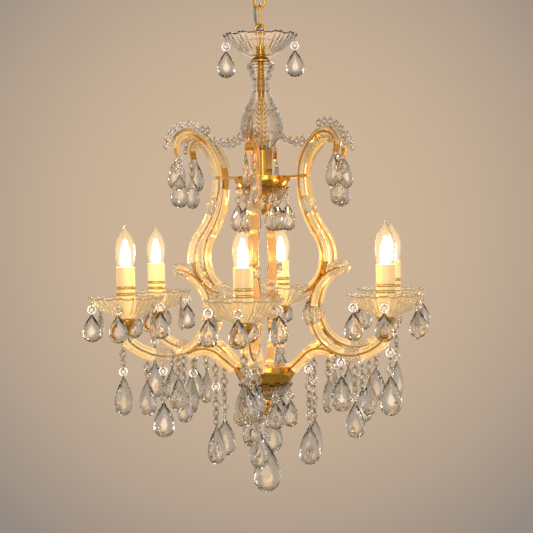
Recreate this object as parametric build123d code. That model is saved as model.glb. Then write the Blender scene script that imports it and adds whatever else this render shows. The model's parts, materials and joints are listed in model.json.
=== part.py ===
from build123d import *
import os
from math import asin, atan2, cos, degrees, hypot, pi, radians, sin, sqrt

# Six-arm candelabra chandelier: glass-clad scroll arms in an open cage, hung on a short chain.
# Millimetres, +Z up, the ceiling is the plane z = 0 and the front faces -Y.

# General fits
SLIP = 0.1
SWING_GAP = 0.3

# Ceiling fitting
BRACKET_LENGTH = 88.0
BRACKET_WIDTH = 16.0
BRACKET_THICKNESS = 2.5
BRACKET_SCREW_SPACING = 64.0
BRACKET_SCREW_R = 2.25
NIPPLE_R = 5.0
CANOPY_R = 52.0
CANOPY_HEIGHT = 32.0
CANOPY_WALL = 1.5
CANOPY_FLOOR_R = 19.0
CABLE_R = 2.0
CABLE_HOLE_X = -12.5
CABLE_Y = 5.4

# Chain and loops
WIRE_R = 1.75
LINK_BEND_R = 7.0
LINK_HALF_STRAIGHT = 9.75
LINK_PLAY = 0.3
HOOK_BOTTOM_Z = -50.55
HOOK_BEND_R = 8.0
LOOP_BEND_R = 7.0

# Centre column
STEM_R = 5.0
STEM_BORE_R = 3.5
LOOP_COLLAR_R = 6.75
LOOP_COLLAR_TOP_Z = -138.0
DISH_FLOOR_Z = -154.0
CAP_R = 15.5
CAP_HEIGHT = 6.5
VASE_TOP_Z = -160.6
VASE_LIP_R = 21.75
VASE_LIP_Z = -168.0
VASE_NECK_R = 14.0
VASE_NECK_Z = -190.0
VASE_BELLY_R = 30.7
VASE_BELLY_Z = -248.0
VASE_FOOT_R = 13.0
VASE_FOOT_Z = -292.0
VASE_WALL = 3.0
UPPER_HUB_Z = -332.0
UPPER_HUB_R = 42.0
UPPER_HUB_DEPTH = 28.0
LOWER_HUB_Z = -616.0
LOWER_HUB_R = 46.0
LOWER_HUB_DEPTH = 38.0
HUB_SKIRT = 6.0
HUB_WALL = 2.5
HUB_FOOT_R = 11.0
LUG_WIDTH = 12.0
LUG_THICKNESS = 3.0
HUB_SPACER_HEIGHT = 9.0
HUB_SPACER_R = 8.0
HUB_DISH_R = 42.0
HUB_DISH_DEPTH = 23.0

# Glass dishes of the candle arms and the top
DISH_R = 57.0
DISH_DEPTH = 33.5
DISH_WALL = 3.0
DISH_FOOT_R = 16.0
DISH_LOBES = 12
DISH_HOLE_R = 5.6

# Arms: flat bars bent in the radial plane, drawn as tangent arcs in (radius, height)
ARM_COUNT = 6
ARM_PHASE = -97.4
BAR_WIDTH = 12.0
BAR_THICKNESS = 3.0
BAR_JOINT_GAP = 0.2
CROOK_R = 20.0
CROOK_TIP_ANGLE = -30.0
UPPER_R = 70.0
UPPER_TOP_ANGLE = 120.0
WAIST_RADIUS = 71.0
WAIST_Z = -334.0
LOWER_R = 137.0
BULGE_R = 56.0
BULGE_CENTRE_RADIUS = 56.0
LYRE_END_ANGLE = -70.0
SCROLL_R = 64.0
SCROLL_CONTACT_ANGLE = -39.0
SCROLL_END_ANGLE = 105.0
TAIL_BREAK_ANGLE = 40.0
STRUT_R = 40.0
STRUT_CONTACT_ANGLE = 243.0
STRUT_LEAVE_ANGLE = 130.0

# Glass strips that clad the bars
STRIP_HEIGHT = 7.5
STRIP_EDGE = 1.6
ROSETTE_R = 13.0
ROSETTE_HEIGHT = 9.5
ROSETTE_PETALS = 8
ROSETTE_GAP = 0.9
SCROLL_ROSETTE_ANGLE = 187.0
TAIL_ROSETTE_ANGLE = -84.5
LYRE_ROSETTE_ANGLE = 198.5
LYRE_END_ROSETTE = 1.0
SCROLL_END_ROSETTE = 5.0
LUG_CLEARANCE = 16.0
WAIST_CLEARANCE = 3.0
JOINT_CLEARANCE = 32.0

# Candles
CANDLE_CIRCLE_R = 216.0
CUP_RISE = 33.5
CUP_HEIGHT = 22.0
CUP_DISC_R = 15.5
CUP_STEM_R = 5.2
SLEEVE_R = 13.5
SLEEVE_WALL = 1.0
SLEEVE_HEIGHT = 72.4
HOLDER_HEIGHT = 48.4
SOCKET_R = 7.2
SOCKET_DEPTH = 25.0
BULB_R = 14.6
BULB_BELLY_RISE = 49.0
BULB_RISE = 86.0
BULB_WALL = 0.8
BULB_CAP_R = 7.0
WIRING_R = 1.0

# Crystals
BEAD_R = 6.8
BEAD_THICKNESS = 7.0
SMALL_BEAD_R = 5.2
SMALL_BEAD_THICKNESS = 6.0
CRYSTAL_GAP = 0.4
PIN_R = 0.6
PIN_LENGTH = 3.0
SMALL_PEAR = (28.0, 40.0, 10.0)
LONG_PEAR = (32.0, 52.0, 12.0)
ARM_PEAR = (33.0, 57.0, 12.0)
CROOK_PEAR = (30.0, 48.0, 10.0)
CROOK_DROP_OFFSET = 5.6
CROOK_BEADS = 7
CROOK_BEAD_START = 4.0
CENTRE_PEAR = (44.0, 74.0, 16.0)

# Shared helpers


def ring_place(k, shape):
    """Turn a shape drawn on the +X arm plane to arm k."""
    return Rot(0, 0, ARM_PHASE + 360 / ARM_COUNT * k) * shape


def on_arms(shape):
    """One copy of a shape on each arm."""
    return [ring_place(k, shape) for k in range(ARM_COUNT)]


def arc_point(centre, radius, angle):
    """Point of a circle in the radial plane, as (radius, height)."""
    return (centre[0] + radius * cos(radians(angle)), centre[1] + radius * sin(radians(angle)))


def along_arc(section, centre, start, stop):
    """Carry a section, drawn as x = distance from the arc's centre, round an arc of the radial plane."""
    piece = revolve(section, Axis((0, 0, 0), (0, -1, 0)), stop - start)
    return Pos(centre[0], 0, centre[1]) * Rot(0, -start, 0) * piece


def bar_arc(centre, radius, start, stop):
    """A length of flat bar bent to an arc of the radial plane."""
    return along_arc(Pos(radius, 0) * Rectangle(BAR_THICKNESS, BAR_WIDTH), centre, start, stop)


def turned(points, hole=0.0):
    """A turned piece from its half outline of straight runs, bored through if asked."""
    outline = Polyline(*[(p[0], 0, p[1]) for p in points], close=True)
    piece = revolve(make_face(outline), Axis.Z)
    if hole > 0:
        heights = [p[1] for p in points]
        bore = Cylinder(hole, max(heights) - min(heights) + 2)
        piece = piece - Pos(0, 0, (max(heights) + min(heights)) / 2) * bore
    return piece


def ring(bend_r):
    """A closed wire ring in the XZ plane, centred on the origin."""
    return Rot(90, 0, 0) * Torus(bend_r, WIRE_R)


# Ceiling fitting


def make_bracket():
    plate = Pos(0, 0, -BRACKET_THICKNESS / 2) * Box(BRACKET_LENGTH, BRACKET_WIDTH, BRACKET_THICKNESS)
    bore = Cylinder(NIPPLE_R + SLIP, 3 * BRACKET_THICKNESS)
    for side in (-1, 1):
        hole = Cylinder(BRACKET_SCREW_R, 3 * BRACKET_THICKNESS)
        plate = plate - Pos(side * BRACKET_SCREW_SPACING / 2, 0, 0) * hole
    return plate - bore


def make_canopy():
    floor_z = -CANOPY_HEIGHT
    mid_outer = (CANOPY_R - 6, floor_z * 0.55)
    mid_inner = (mid_outer[0] - CANOPY_WALL, mid_outer[1] + CANOPY_WALL * 0.6)
    outline = Curve() + [
        Line((CANOPY_FLOOR_R, 0, floor_z), (NIPPLE_R + SLIP, 0, floor_z)),
        Line((NIPPLE_R + SLIP, 0, floor_z), (NIPPLE_R + SLIP, 0, floor_z + CANOPY_WALL)),
        Line((NIPPLE_R + SLIP, 0, floor_z + CANOPY_WALL), (CANOPY_FLOOR_R, 0, floor_z + CANOPY_WALL)),
        ThreePointArc(
            (CANOPY_FLOOR_R, 0, floor_z + CANOPY_WALL),
            (mid_inner[0], 0, mid_inner[1]),
            (CANOPY_R - CANOPY_WALL, 0, 0),
        ),
        Line((CANOPY_R - CANOPY_WALL, 0, 0), (CANOPY_R, 0, 0)),
        ThreePointArc((CANOPY_R, 0, 0), (mid_outer[0], 0, mid_outer[1]), (CANOPY_FLOOR_R, 0, floor_z)),
    ]
    shell = revolve(make_face(outline), Axis.Z)
    cable_hole = Cylinder(CABLE_R + SLIP, 3 * CANOPY_WALL)
    return shell - Pos(CABLE_HOLE_X, CABLE_Y, floor_z) * cable_hole


def make_canopy_hook():
    ring_z = HOOK_BOTTOM_Z + HOOK_BEND_R
    nipple_bottom = ring_z + HOOK_BEND_R - WIRE_R / 2
    nipple_top = -0.5
    nipple = Pos(0, 0, (nipple_top + nipple_bottom) / 2) * Cylinder(NIPPLE_R, nipple_top - nipple_bottom)
    collar_top = -CANOPY_HEIGHT - SLIP / 2
    collar = Pos(0, 0, collar_top - 2) * Cylinder(NIPPLE_R + 3, 4)
    lock_nut = extrude(Pos(0, 0, -BRACKET_THICKNESS - SLIP) * RegularPolygon(8.5, 6), -5)
    return Pos(0, 0, ring_z) * Rot(0, 0, 90) * ring(HOOK_BEND_R) + nipple + collar + lock_nut


def make_link():
    """One welded chain link in the XZ plane, its top bend centred on the origin."""
    bend = revolve(Pos(LINK_BEND_R, 0) * Circle(WIRE_R), Axis((0, 0, 0), (0, -1, 0)), 180)
    leg = Pos(LINK_BEND_R, 0, -LINK_HALF_STRAIGHT) * Cylinder(WIRE_R, 2 * LINK_HALF_STRAIGHT)
    top_half = bend + leg
    other = Pos(0, 0, -2 * LINK_HALF_STRAIGHT) * Rot(0, 180, 0) * top_half
    return top_half + other


LINK_RISE = 2 * WIRE_R + LINK_PLAY
LINK_1_TOP_Z = HOOK_BOTTOM_Z + LINK_RISE - LINK_BEND_R
LINK_1_BOTTOM_Z = LINK_1_TOP_Z - 2 * LINK_HALF_STRAIGHT - LINK_BEND_R
LINK_2_TOP_Z = LINK_1_BOTTOM_Z + LINK_RISE - LINK_BEND_R
LINK_2_BOTTOM_Z = LINK_2_TOP_Z - 2 * LINK_HALF_STRAIGHT - LINK_BEND_R
LOOP_CENTRE_Z = LINK_2_BOTTOM_Z + LINK_RISE - LOOP_BEND_R


def make_supply_cable():
    """Clear flex that runs from the canopy beside the chain into the collar of the loop."""
    route = [
        (CABLE_HOLE_X, CABLE_Y, -CANOPY_HEIGHT + 8),
        (CABLE_HOLE_X, CABLE_Y, -CANOPY_HEIGHT - 8),
        (-7.5, CABLE_Y + 1, -64),
        (-7.5, CABLE_Y + 1, -100),
        (0, CABLE_Y, -118),
        (0, CABLE_R + 2.6, LOOP_COLLAR_TOP_Z + 12),
        (0, CABLE_R + 2.6, LOOP_COLLAR_TOP_Z + SLIP),
    ]
    path = FilletPolyline(*route, radius=12)
    start = Plane(origin=route[0], z_dir=(0, 0, -1))
    return sweep(start * Circle(CABLE_R), path=path)


# Centre column


def make_stem_loop():
    neck_top = LOOP_CENTRE_Z - LOOP_BEND_R
    neck = Pos(0, 0, (neck_top + LOOP_COLLAR_TOP_Z) / 2) * Cylinder(2.4, neck_top - LOOP_COLLAR_TOP_Z)
    collar_bottom = DISH_FLOOR_Z + DISH_WALL + SLIP / 2
    collar_height = LOOP_COLLAR_TOP_Z - collar_bottom
    collar = Pos(0, 0, LOOP_COLLAR_TOP_Z - collar_height / 2) * Cylinder(LOOP_COLLAR_R, collar_height)
    thread = Pos(0, 0, collar_bottom) * Cylinder(STEM_R + SLIP / 2, 2 * (collar_height - 2.5))
    return Pos(0, 0, LOOP_CENTRE_Z) * ring(LOOP_BEND_R) + neck + (collar - thread)


def finial_bottom_z(hub_z, depth):
    """Underside of the glass dish below a hub."""
    return hub_z - depth - HUB_SPACER_HEIGHT - DISH_WALL - SLIP


def make_stem_tube():
    top = LOOP_COLLAR_TOP_Z - 3
    bottom = finial_bottom_z(UPPER_HUB_Z, UPPER_HUB_DEPTH) - 8
    rod = Cylinder(STEM_R, top - bottom) - Cylinder(STEM_BORE_R, top - bottom + 2)
    return Pos(0, 0, (top + bottom) / 2) * rod


def make_dish(radius, depth, hole):
    """Moulded glass dish: a bowl with a flat foot and a lobed rim, its foot on z = 0."""
    foot = DISH_FOOT_R
    middle = (foot + radius) / 2
    sag = 2.2
    outline = Curve() + [
        Line((hole, 0, 0), (foot, 0, 0)),
        ThreePointArc((foot, 0, 0), (middle + sag, 0, depth / 2 - 1.2 * sag), (radius, 0, depth)),
        Line((radius, 0, depth), (radius - DISH_WALL * 0.8, 0, depth + DISH_WALL * 0.3)),
        ThreePointArc(
            (radius - DISH_WALL * 0.8, 0, depth + DISH_WALL * 0.3),
            (middle + sag - DISH_WALL * 0.75, 0, depth / 2 - 1.2 * sag + DISH_WALL * 0.75),
            (foot - 1, 0, DISH_WALL),
        ),
        Line((foot - 1, 0, DISH_WALL), (hole, 0, DISH_WALL)),
        Line((hole, 0, DISH_WALL), (hole, 0, 0)),
    ]
    bowl = revolve(make_face(outline), Axis.Z)
    lobe_r = pi * radius / DISH_LOBES * 1.05
    flower = Circle(radius - lobe_r * 0.8)
    flower = flower + PolarLocations(radius - lobe_r, DISH_LOBES) * Circle(lobe_r)
    return bowl & extrude(flower, 2 * depth)


def dish_underside(radius, depth, r):
    """Height of a dish's outer wall above its foot at radius r."""
    middle = (DISH_FOOT_R + radius) / 2
    sag = 2.2
    low = (DISH_FOOT_R, 0.0)
    mid = (middle + sag, depth / 2 - 1.2 * sag)
    high = (radius, depth)
    d = 2 * (low[0] * (mid[1] - high[1]) + mid[0] * (high[1] - low[1]) + high[0] * (low[1] - mid[1]))
    squares = [p[0] ** 2 + p[1] ** 2 for p in (low, mid, high)]
    rises = (mid[1] - high[1], high[1] - low[1], low[1] - mid[1])
    runs = (high[0] - mid[0], low[0] - high[0], mid[0] - low[0])
    cx = sum(square * rise for square, rise in zip(squares, rises)) / d
    cz = sum(square * run for square, run in zip(squares, runs)) / d
    arc_r = hypot(low[0] - cx, low[1] - cz)
    return cz - sqrt(arc_r**2 - (r - cx) ** 2)


def make_dish_cap():
    top = DISH_FLOOR_Z - SLIP / 2
    outline = [
        (STEM_R + SLIP, top),
        (CAP_R * 0.55, top),
        (CAP_R * 0.8, top - CAP_HEIGHT * 0.3),
        (CAP_R, top - CAP_HEIGHT * 0.8),
        (CAP_R, top - CAP_HEIGHT),
        (STEM_R + SLIP, top - CAP_HEIGHT),
    ]
    return turned(outline)


VASE_SHOULDER = (VASE_NECK_R + 1.6, VASE_NECK_Z - 18)


def vase_outline():
    """Outer half outline of the vase, from its lip to its foot."""
    return Spline(
        (VASE_LIP_R - 6, 0, VASE_TOP_Z),
        (VASE_LIP_R, 0, VASE_LIP_Z),
        (VASE_NECK_R, 0, VASE_NECK_Z),
        (VASE_SHOULDER[0], 0, VASE_SHOULDER[1]),
        (VASE_BELLY_R, 0, VASE_BELLY_Z),
        (VASE_FOOT_R, 0, VASE_FOOT_Z),
    )


def vase_radius(z):
    """Outer radius of the vase at a height."""
    outline = vase_outline()
    above, below = 0.0, 1.0
    for _ in range(40):
        middle = (above + below) / 2
        if (outline @ middle).Z > z:
            above = middle
        else:
            below = middle
    return (outline @ above).X


def make_vase():
    hole = STEM_R + SLIP
    top_z = VASE_TOP_Z
    outer = vase_outline()
    inner = Spline(
        (VASE_NECK_R - VASE_WALL, 0, top_z - VASE_WALL),
        (VASE_NECK_R - VASE_WALL, 0, VASE_NECK_Z),
        (VASE_SHOULDER[0] - VASE_WALL, 0, VASE_SHOULDER[1]),
        (VASE_BELLY_R - VASE_WALL, 0, VASE_BELLY_Z),
        (VASE_FOOT_R - VASE_WALL, 0, VASE_FOOT_Z + VASE_WALL + 1),
    )
    shapes = []
    for wall in (outer, inner):
        axis_run = Polyline(wall @ 1, (0, 0, (wall @ 1).Z), (0, 0, (wall @ 0).Z), wall @ 0)
        shapes.append(revolve(make_face(Curve() + [wall, axis_run]), Axis.Z))
    body, room = shapes
    bore = Pos(0, 0, (VASE_FOOT_Z + top_z) / 2) * Cylinder(hole, top_z - VASE_FOOT_Z + 4)
    return body - room - bore


def make_hub(z, radius, depth, lug_reach):
    """Pressed brass bowl of a hub: a skirt, a round belly and a flat lid, with lugs if asked."""
    belly_top = z - HUB_SKIRT
    bottom = z - depth

    def outline(shrink, lid, floor):
        return Curve() + [
            Line((0, 0, z - lid), (radius - shrink, 0, z - lid)),
            Line((radius - shrink, 0, z - lid), (radius - shrink, 0, belly_top)),
            ThreePointArc(
                (radius - shrink, 0, belly_top),
                ((radius - shrink) * 0.80, 0, belly_top - (depth - HUB_SKIRT) * 0.62),
                (HUB_FOOT_R - shrink, 0, bottom + floor),
            ),
            Line((HUB_FOOT_R - shrink, 0, bottom + floor), (0, 0, bottom + floor)),
            Line((0, 0, bottom + floor), (0, 0, z - lid)),
        ]

    shell = revolve(make_face(outline(0, 0, 0)), Axis.Z)
    shell = shell - revolve(make_face(outline(HUB_WALL, HUB_WALL, HUB_WALL)), Axis.Z)
    if lug_reach > radius:
        length = lug_reach - radius + 2
        lug = Pos(radius - 2 + length / 2, 0, WAIST_Z) * Box(length, LUG_WIDTH, LUG_THICKNESS)
        for piece in on_arms(lug):
            shell = shell + piece
    return shell - Pos(0, 0, z - depth / 2) * Cylinder(STEM_R + SLIP, depth + 4)


def make_spacer(z, depth):
    height = HUB_SPACER_HEIGHT - SLIP
    sleeve = Cylinder(HUB_SPACER_R, height) - Cylinder(STEM_R + SLIP, height + 2)
    return Pos(0, 0, z - depth - SLIP / 2 - height / 2) * sleeve


def make_upper_finial():
    top = finial_bottom_z(UPPER_HUB_Z, UPPER_HUB_DEPTH) - SLIP
    outline = [
        (0, top),
        (9, top),
        (9, top - 3),
        (5.6, top - 4.5),
        (7, top - 9),
        (4, top - 14),
        (2, top - 17),
        (0, top - 17),
    ]
    body = turned(outline)
    return body - Pos(0, 0, top - 4) * Cylinder(STEM_R + SLIP, 8.2)


def make_lower_finial():
    top = finial_bottom_z(LOWER_HUB_Z, LOWER_HUB_DEPTH) - SLIP
    rod_top = LOWER_HUB_Z - HUB_WALL - 1
    outline = [
        (0, rod_top),
        (STEM_R, rod_top),
        (STEM_R, top),
        (12.5, top),
        (12.5, top - 2.5),
        (4.5, top - 4),
        (4.5, top - 6),
        (7.5, top - 9),
        (7.5, top - 12),
        (3.5, top - 16),
        (3, top - 17.5),
        (4.6, top - 20),
        (4.6, top - 22),
        (2.2, top - 24.5),
        (0, top - 24.5),
    ]
    return turned(outline)


LOWER_FINIAL_TIP_Z = finial_bottom_z(LOWER_HUB_Z, LOWER_HUB_DEPTH) - SLIP - 24.5

# Arm geometry

UPPER_CENTRE = (WAIST_RADIUS + UPPER_R, WAIST_Z)
CROOK_CENTRE = arc_point(UPPER_CENTRE, UPPER_R - CROOK_R, UPPER_TOP_ANGLE)
LOWER_CENTRE = (WAIST_RADIUS + LOWER_R, WAIST_Z)
BULGE_DROP = sqrt((LOWER_R + BULGE_R) ** 2 - (LOWER_CENTRE[0] - BULGE_CENTRE_RADIUS) ** 2)
BULGE_CENTRE = (BULGE_CENTRE_RADIUS, WAIST_Z - BULGE_DROP)
BULGE_TOP_ANGLE = degrees(atan2(LOWER_CENTRE[1] - BULGE_CENTRE[1], LOWER_CENTRE[0] - BULGE_CENTRE[0]))
BAR_PITCH = BAR_THICKNESS + BAR_JOINT_GAP
SCROLL_CENTRE = arc_point(BULGE_CENTRE, BULGE_R + SCROLL_R + BAR_PITCH, SCROLL_CONTACT_ANGLE)
SCROLL_TOUCH = SCROLL_CONTACT_ANGLE + 180
STRUT_CENTRE = arc_point(SCROLL_CENTRE, SCROLL_R + STRUT_R + BAR_PITCH, STRUT_CONTACT_ANGLE)
STRUT_TOUCH = STRUT_CONTACT_ANGLE - 180

# Candle heights, built up from the lowest point of the scroll
CUP_BASE_Z = SCROLL_CENTRE[1] - SCROLL_R + CUP_RISE
CUP_TOP_Z = CUP_BASE_Z + CUP_HEIGHT
DISH_SEAT_Z = CUP_TOP_Z + SWING_GAP
CANDLE_BASE_Z = DISH_SEAT_Z + DISH_WALL + SWING_GAP
SLEEVE_TOP_Z = CANDLE_BASE_Z + SLEEVE_HEIGHT
HOLDER_TOP_Z = CANDLE_BASE_Z + HOLDER_HEIGHT
BULB_BELLY_Z = HOLDER_TOP_Z + BULB_BELLY_RISE
BULB_TIP_Z = HOLDER_TOP_Z + BULB_RISE

# The tail runs from the lowest point of the scroll to the cup in two arcs that end upright.
TAIL_RUN = CANDLE_CIRCLE_R - SCROLL_CENTRE[0]
TAIL_RISE = CUP_RISE
TAIL_S = sin(radians(TAIL_BREAK_ANGLE))
TAIL_C = cos(radians(TAIL_BREAK_ANGLE))
TAIL_R2 = (TAIL_RISE * TAIL_S - TAIL_RUN * (1 - TAIL_C)) / (TAIL_C * TAIL_S - (1 - TAIL_S) * (1 - TAIL_C))
TAIL_R1 = (TAIL_RUN - TAIL_R2 * (1 - TAIL_S)) / TAIL_S
TAIL_CENTRE_1 = (SCROLL_CENTRE[0], SCROLL_CENTRE[1] - SCROLL_R + TAIL_R1)
TAIL_CENTRE_2 = (CANDLE_CIRCLE_R - TAIL_R2, CUP_BASE_Z)
TAIL_BREAK = TAIL_BREAK_ANGLE - 90

STRUT_LEAVE = arc_point(STRUT_CENTRE, STRUT_R, STRUT_LEAVE_ANGLE)
STRUT_SLOPE = (-sin(radians(STRUT_LEAVE_ANGLE)), cos(radians(STRUT_LEAVE_ANGLE)))
STRUT_RUN = (STRUT_LEAVE[0] - LOWER_HUB_R + 6) / -STRUT_SLOPE[0]


def strut_straight(section_height, offset, width, run):
    """A straight length along the strut's lower run, set off from its centre line."""
    middle = (STRUT_LEAVE[0] + STRUT_SLOPE[0] * run / 2, STRUT_LEAVE[1] + STRUT_SLOPE[1] * run / 2)
    tilt = degrees(atan2(STRUT_SLOPE[1], STRUT_SLOPE[0]))
    place = Pos(middle[0], 0, middle[1]) * Rot(0, -tilt, 0) * Pos(0, 0, -offset)
    return place * Box(run, width, section_height)


def make_arm():
    """The three bars of one arm: the lyre, the scroll with its candle end, and the strut."""
    lyre = bar_arc(CROOK_CENTRE, CROOK_R, CROOK_TIP_ANGLE, UPPER_TOP_ANGLE)
    lyre = lyre + bar_arc(UPPER_CENTRE, UPPER_R, UPPER_TOP_ANGLE, 180)
    lyre = lyre + bar_arc(LOWER_CENTRE, LOWER_R, 180, 180 + BULGE_TOP_ANGLE)
    lyre = lyre + bar_arc(BULGE_CENTRE, BULGE_R, LYRE_END_ANGLE, BULGE_TOP_ANGLE)
    scroll = bar_arc(SCROLL_CENTRE, SCROLL_R, SCROLL_END_ANGLE, 270)
    scroll = scroll + bar_arc(TAIL_CENTRE_1, TAIL_R1, -90, TAIL_BREAK)
    scroll = scroll + bar_arc(TAIL_CENTRE_2, TAIL_R2, TAIL_BREAK, 0)
    strut = bar_arc(STRUT_CENTRE, STRUT_R, STRUT_TOUCH - 6, STRUT_LEAVE_ANGLE)
    strut = strut + strut_straight(BAR_THICKNESS, 0, BAR_WIDTH, STRUT_RUN)
    hub_edge = Pos(0, 0, LOWER_HUB_Z) * Cylinder(LOWER_HUB_R + SLIP, 60)
    return [lyre, scroll, strut - hub_edge]


def strip_section(radius, side):
    """Moulded glass strip with three flutes, flat against the bar face at the given side."""
    base = radius + side * (BAR_THICKNESS / 2 + SLIP)
    half = BAR_WIDTH / 2
    inner = half * 0.36
    edge = base + side * STRIP_EDGE
    valley = base + side * STRIP_HEIGHT * 0.72
    outline = Curve() + [
        Line((base, -half), (edge, -half)),
        ThreePointArc((edge, -half), (base + side * STRIP_HEIGHT * 0.70, -half * 0.74), (valley, -inner)),
        ThreePointArc((valley, -inner), (base + side * STRIP_HEIGHT, 0), (valley, inner)),
        ThreePointArc((valley, inner), (base + side * STRIP_HEIGHT * 0.70, half * 0.74), (edge, half)),
        Line((edge, half), (base, half)),
        Line((base, half), (base, -half)),
    ]
    return make_face(outline)


def glass_arc(centre, radius, side, start, stop):
    return along_arc(strip_section(radius, side), centre, start, stop)


def arc_span(length, radius):
    """Angle in degrees that a straight length takes up on an arc."""
    return degrees(2 * asin(length / 2 / radius))


def rosette_span(radius):
    """Half angle that a rosette and its clearance take up on a bar bent to a radius."""
    return arc_span(ROSETTE_R + ROSETTE_GAP, radius - BAR_THICKNESS)


def make_arm_glass():
    """Glass strips of one arm, left open where rosettes, lugs and bar joints sit."""
    waist_above = 180 - arc_span(WAIST_CLEARANCE, UPPER_R)
    waist_below = 180 + arc_span(WAIST_CLEARANCE, LOWER_R)
    lug_above = 180 - arc_span(LUG_CLEARANCE, UPPER_R)
    lug_below = 180 + arc_span(LUG_CLEARANCE, LOWER_R)
    lyre_span = rosette_span(LOWER_R)
    lyre_end = LYRE_END_ANGLE + LYRE_END_ROSETTE + rosette_span(BULGE_R)
    scroll_span = rosette_span(SCROLL_R)
    tail_start = TAIL_ROSETTE_ANGLE + rosette_span(TAIL_R1)
    bulge_end = 180 + BULGE_TOP_ANGLE
    contact = arc_span(JOINT_CLEARANCE, BULGE_R)
    scroll_top = SCROLL_END_ANGLE + SCROLL_END_ROSETTE + scroll_span
    scroll_low = SCROLL_ROSETTE_ANGLE + scroll_span
    tail_span = rosette_span(TAIL_R1)
    scroll_inner_end = TAIL_ROSETTE_ANGLE + 352 - tail_span
    strips = [
        glass_arc(CROOK_CENTRE, CROOK_R, 1, 0, UPPER_TOP_ANGLE - 2),
        glass_arc(CROOK_CENTRE, CROOK_R, -1, 10, UPPER_TOP_ANGLE - 8),
        glass_arc(UPPER_CENTRE, UPPER_R, 1, UPPER_TOP_ANGLE, lug_above),
        glass_arc(UPPER_CENTRE, UPPER_R, -1, UPPER_TOP_ANGLE + 8, waist_above),
        glass_arc(LOWER_CENTRE, LOWER_R, -1, waist_below, LYRE_ROSETTE_ANGLE - lyre_span),
        glass_arc(LOWER_CENTRE, LOWER_R, -1, LYRE_ROSETTE_ANGLE + lyre_span, bulge_end - 1),
        glass_arc(LOWER_CENTRE, LOWER_R, 1, lug_below, bulge_end),
        glass_arc(BULGE_CENTRE, BULGE_R, 1, SCROLL_CONTACT_ANGLE + contact, BULGE_TOP_ANGLE),
        glass_arc(BULGE_CENTRE, BULGE_R, -1, lyre_end, BULGE_TOP_ANGLE - 1),
        glass_arc(SCROLL_CENTRE, SCROLL_R, -1, scroll_top, SCROLL_ROSETTE_ANGLE - scroll_span),
        glass_arc(SCROLL_CENTRE, SCROLL_R, -1, scroll_low, scroll_inner_end),
        glass_arc(SCROLL_CENTRE, SCROLL_R, 1, scroll_low, STRUT_CONTACT_ANGLE - 34),
        glass_arc(TAIL_CENTRE_1, TAIL_R1, 1, tail_start, TAIL_BREAK - 1),
        glass_arc(TAIL_CENTRE_1, TAIL_R1, -1, tail_start, TAIL_BREAK - 1),
        glass_arc(TAIL_CENTRE_2, TAIL_R2, 1, TAIL_BREAK, -6),
        glass_arc(STRUT_CENTRE, STRUT_R, -1, STRUT_TOUCH - 4, STRUT_LEAVE_ANGLE),
        glass_arc(STRUT_CENTRE, STRUT_R, 1, STRUT_TOUCH + 46, STRUT_LEAVE_ANGLE),
    ]
    run = STRUT_RUN - 15
    for side in (-1, 1):
        profile = Plane.YZ * (Rot(0, 0, 90) * strip_section(0, side))
        strip = extrude(profile, run)
        tilt = degrees(atan2(STRUT_SLOPE[1], STRUT_SLOPE[0]))
        strips.append(Pos(STRUT_LEAVE[0], 0, STRUT_LEAVE[1]) * Rot(0, -tilt, 0) * Rot(180, 0, 0) * strip)
    return strips


def make_rosette():
    """Moulded glass flower on z = 0, with a rim of round petals."""
    petal_r = ROSETTE_R * 0.36
    flower = Circle(ROSETTE_R * 0.72)
    flower = flower + PolarLocations(ROSETTE_R - petal_r, ROSETTE_PETALS) * Circle(petal_r)
    dome_r = (ROSETTE_R**2 + ROSETTE_HEIGHT**2) / (2 * ROSETTE_HEIGHT) + 1.5
    dome = Pos(0, 0, ROSETTE_HEIGHT - dome_r) * Sphere(dome_r)
    return extrude(flower, ROSETTE_HEIGHT + 1) & dome


def on_bar(centre, radius, side, angle, shape):
    """Seat a rosette, drawn on z = 0, on a bar face with its axis along the face normal."""
    face_r = radius + side * (BAR_THICKNESS / 2 + SLIP)
    hollow = face_r - sqrt(face_r**2 - ROSETTE_R**2) if side < 0 else 0
    foot = arc_point(centre, face_r - hollow, angle)
    lean = 90 - angle if side > 0 else 270 - angle
    return Pos(foot[0], 0, foot[1]) * Rot(0, lean, 0) * shape


def make_arm_rosettes(flower):
    seats = [
        (BULGE_CENTRE, BULGE_R, 1, LYRE_END_ANGLE + LYRE_END_ROSETTE),
        (BULGE_CENTRE, BULGE_R, -1, LYRE_END_ANGLE + LYRE_END_ROSETTE),
        (SCROLL_CENTRE, SCROLL_R, 1, SCROLL_END_ANGLE + SCROLL_END_ROSETTE),
        (SCROLL_CENTRE, SCROLL_R, -1, SCROLL_END_ANGLE + SCROLL_END_ROSETTE),
        (SCROLL_CENTRE, SCROLL_R, 1, SCROLL_ROSETTE_ANGLE),
        (SCROLL_CENTRE, SCROLL_R, -1, SCROLL_ROSETTE_ANGLE),
        (TAIL_CENTRE_1, TAIL_R1, -1, TAIL_ROSETTE_ANGLE),
        (TAIL_CENTRE_1, TAIL_R1, 1, TAIL_ROSETTE_ANGLE),
        (LOWER_CENTRE, LOWER_R, -1, LYRE_ROSETTE_ANGLE),
    ]
    return [on_bar(c, r, side, angle, flower) for c, r, side, angle in seats]


# Candles, drawn on the +X arm at the candle circle


def at_candle(shape):
    return Pos(CANDLE_CIRCLE_R, 0, 0) * shape


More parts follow.
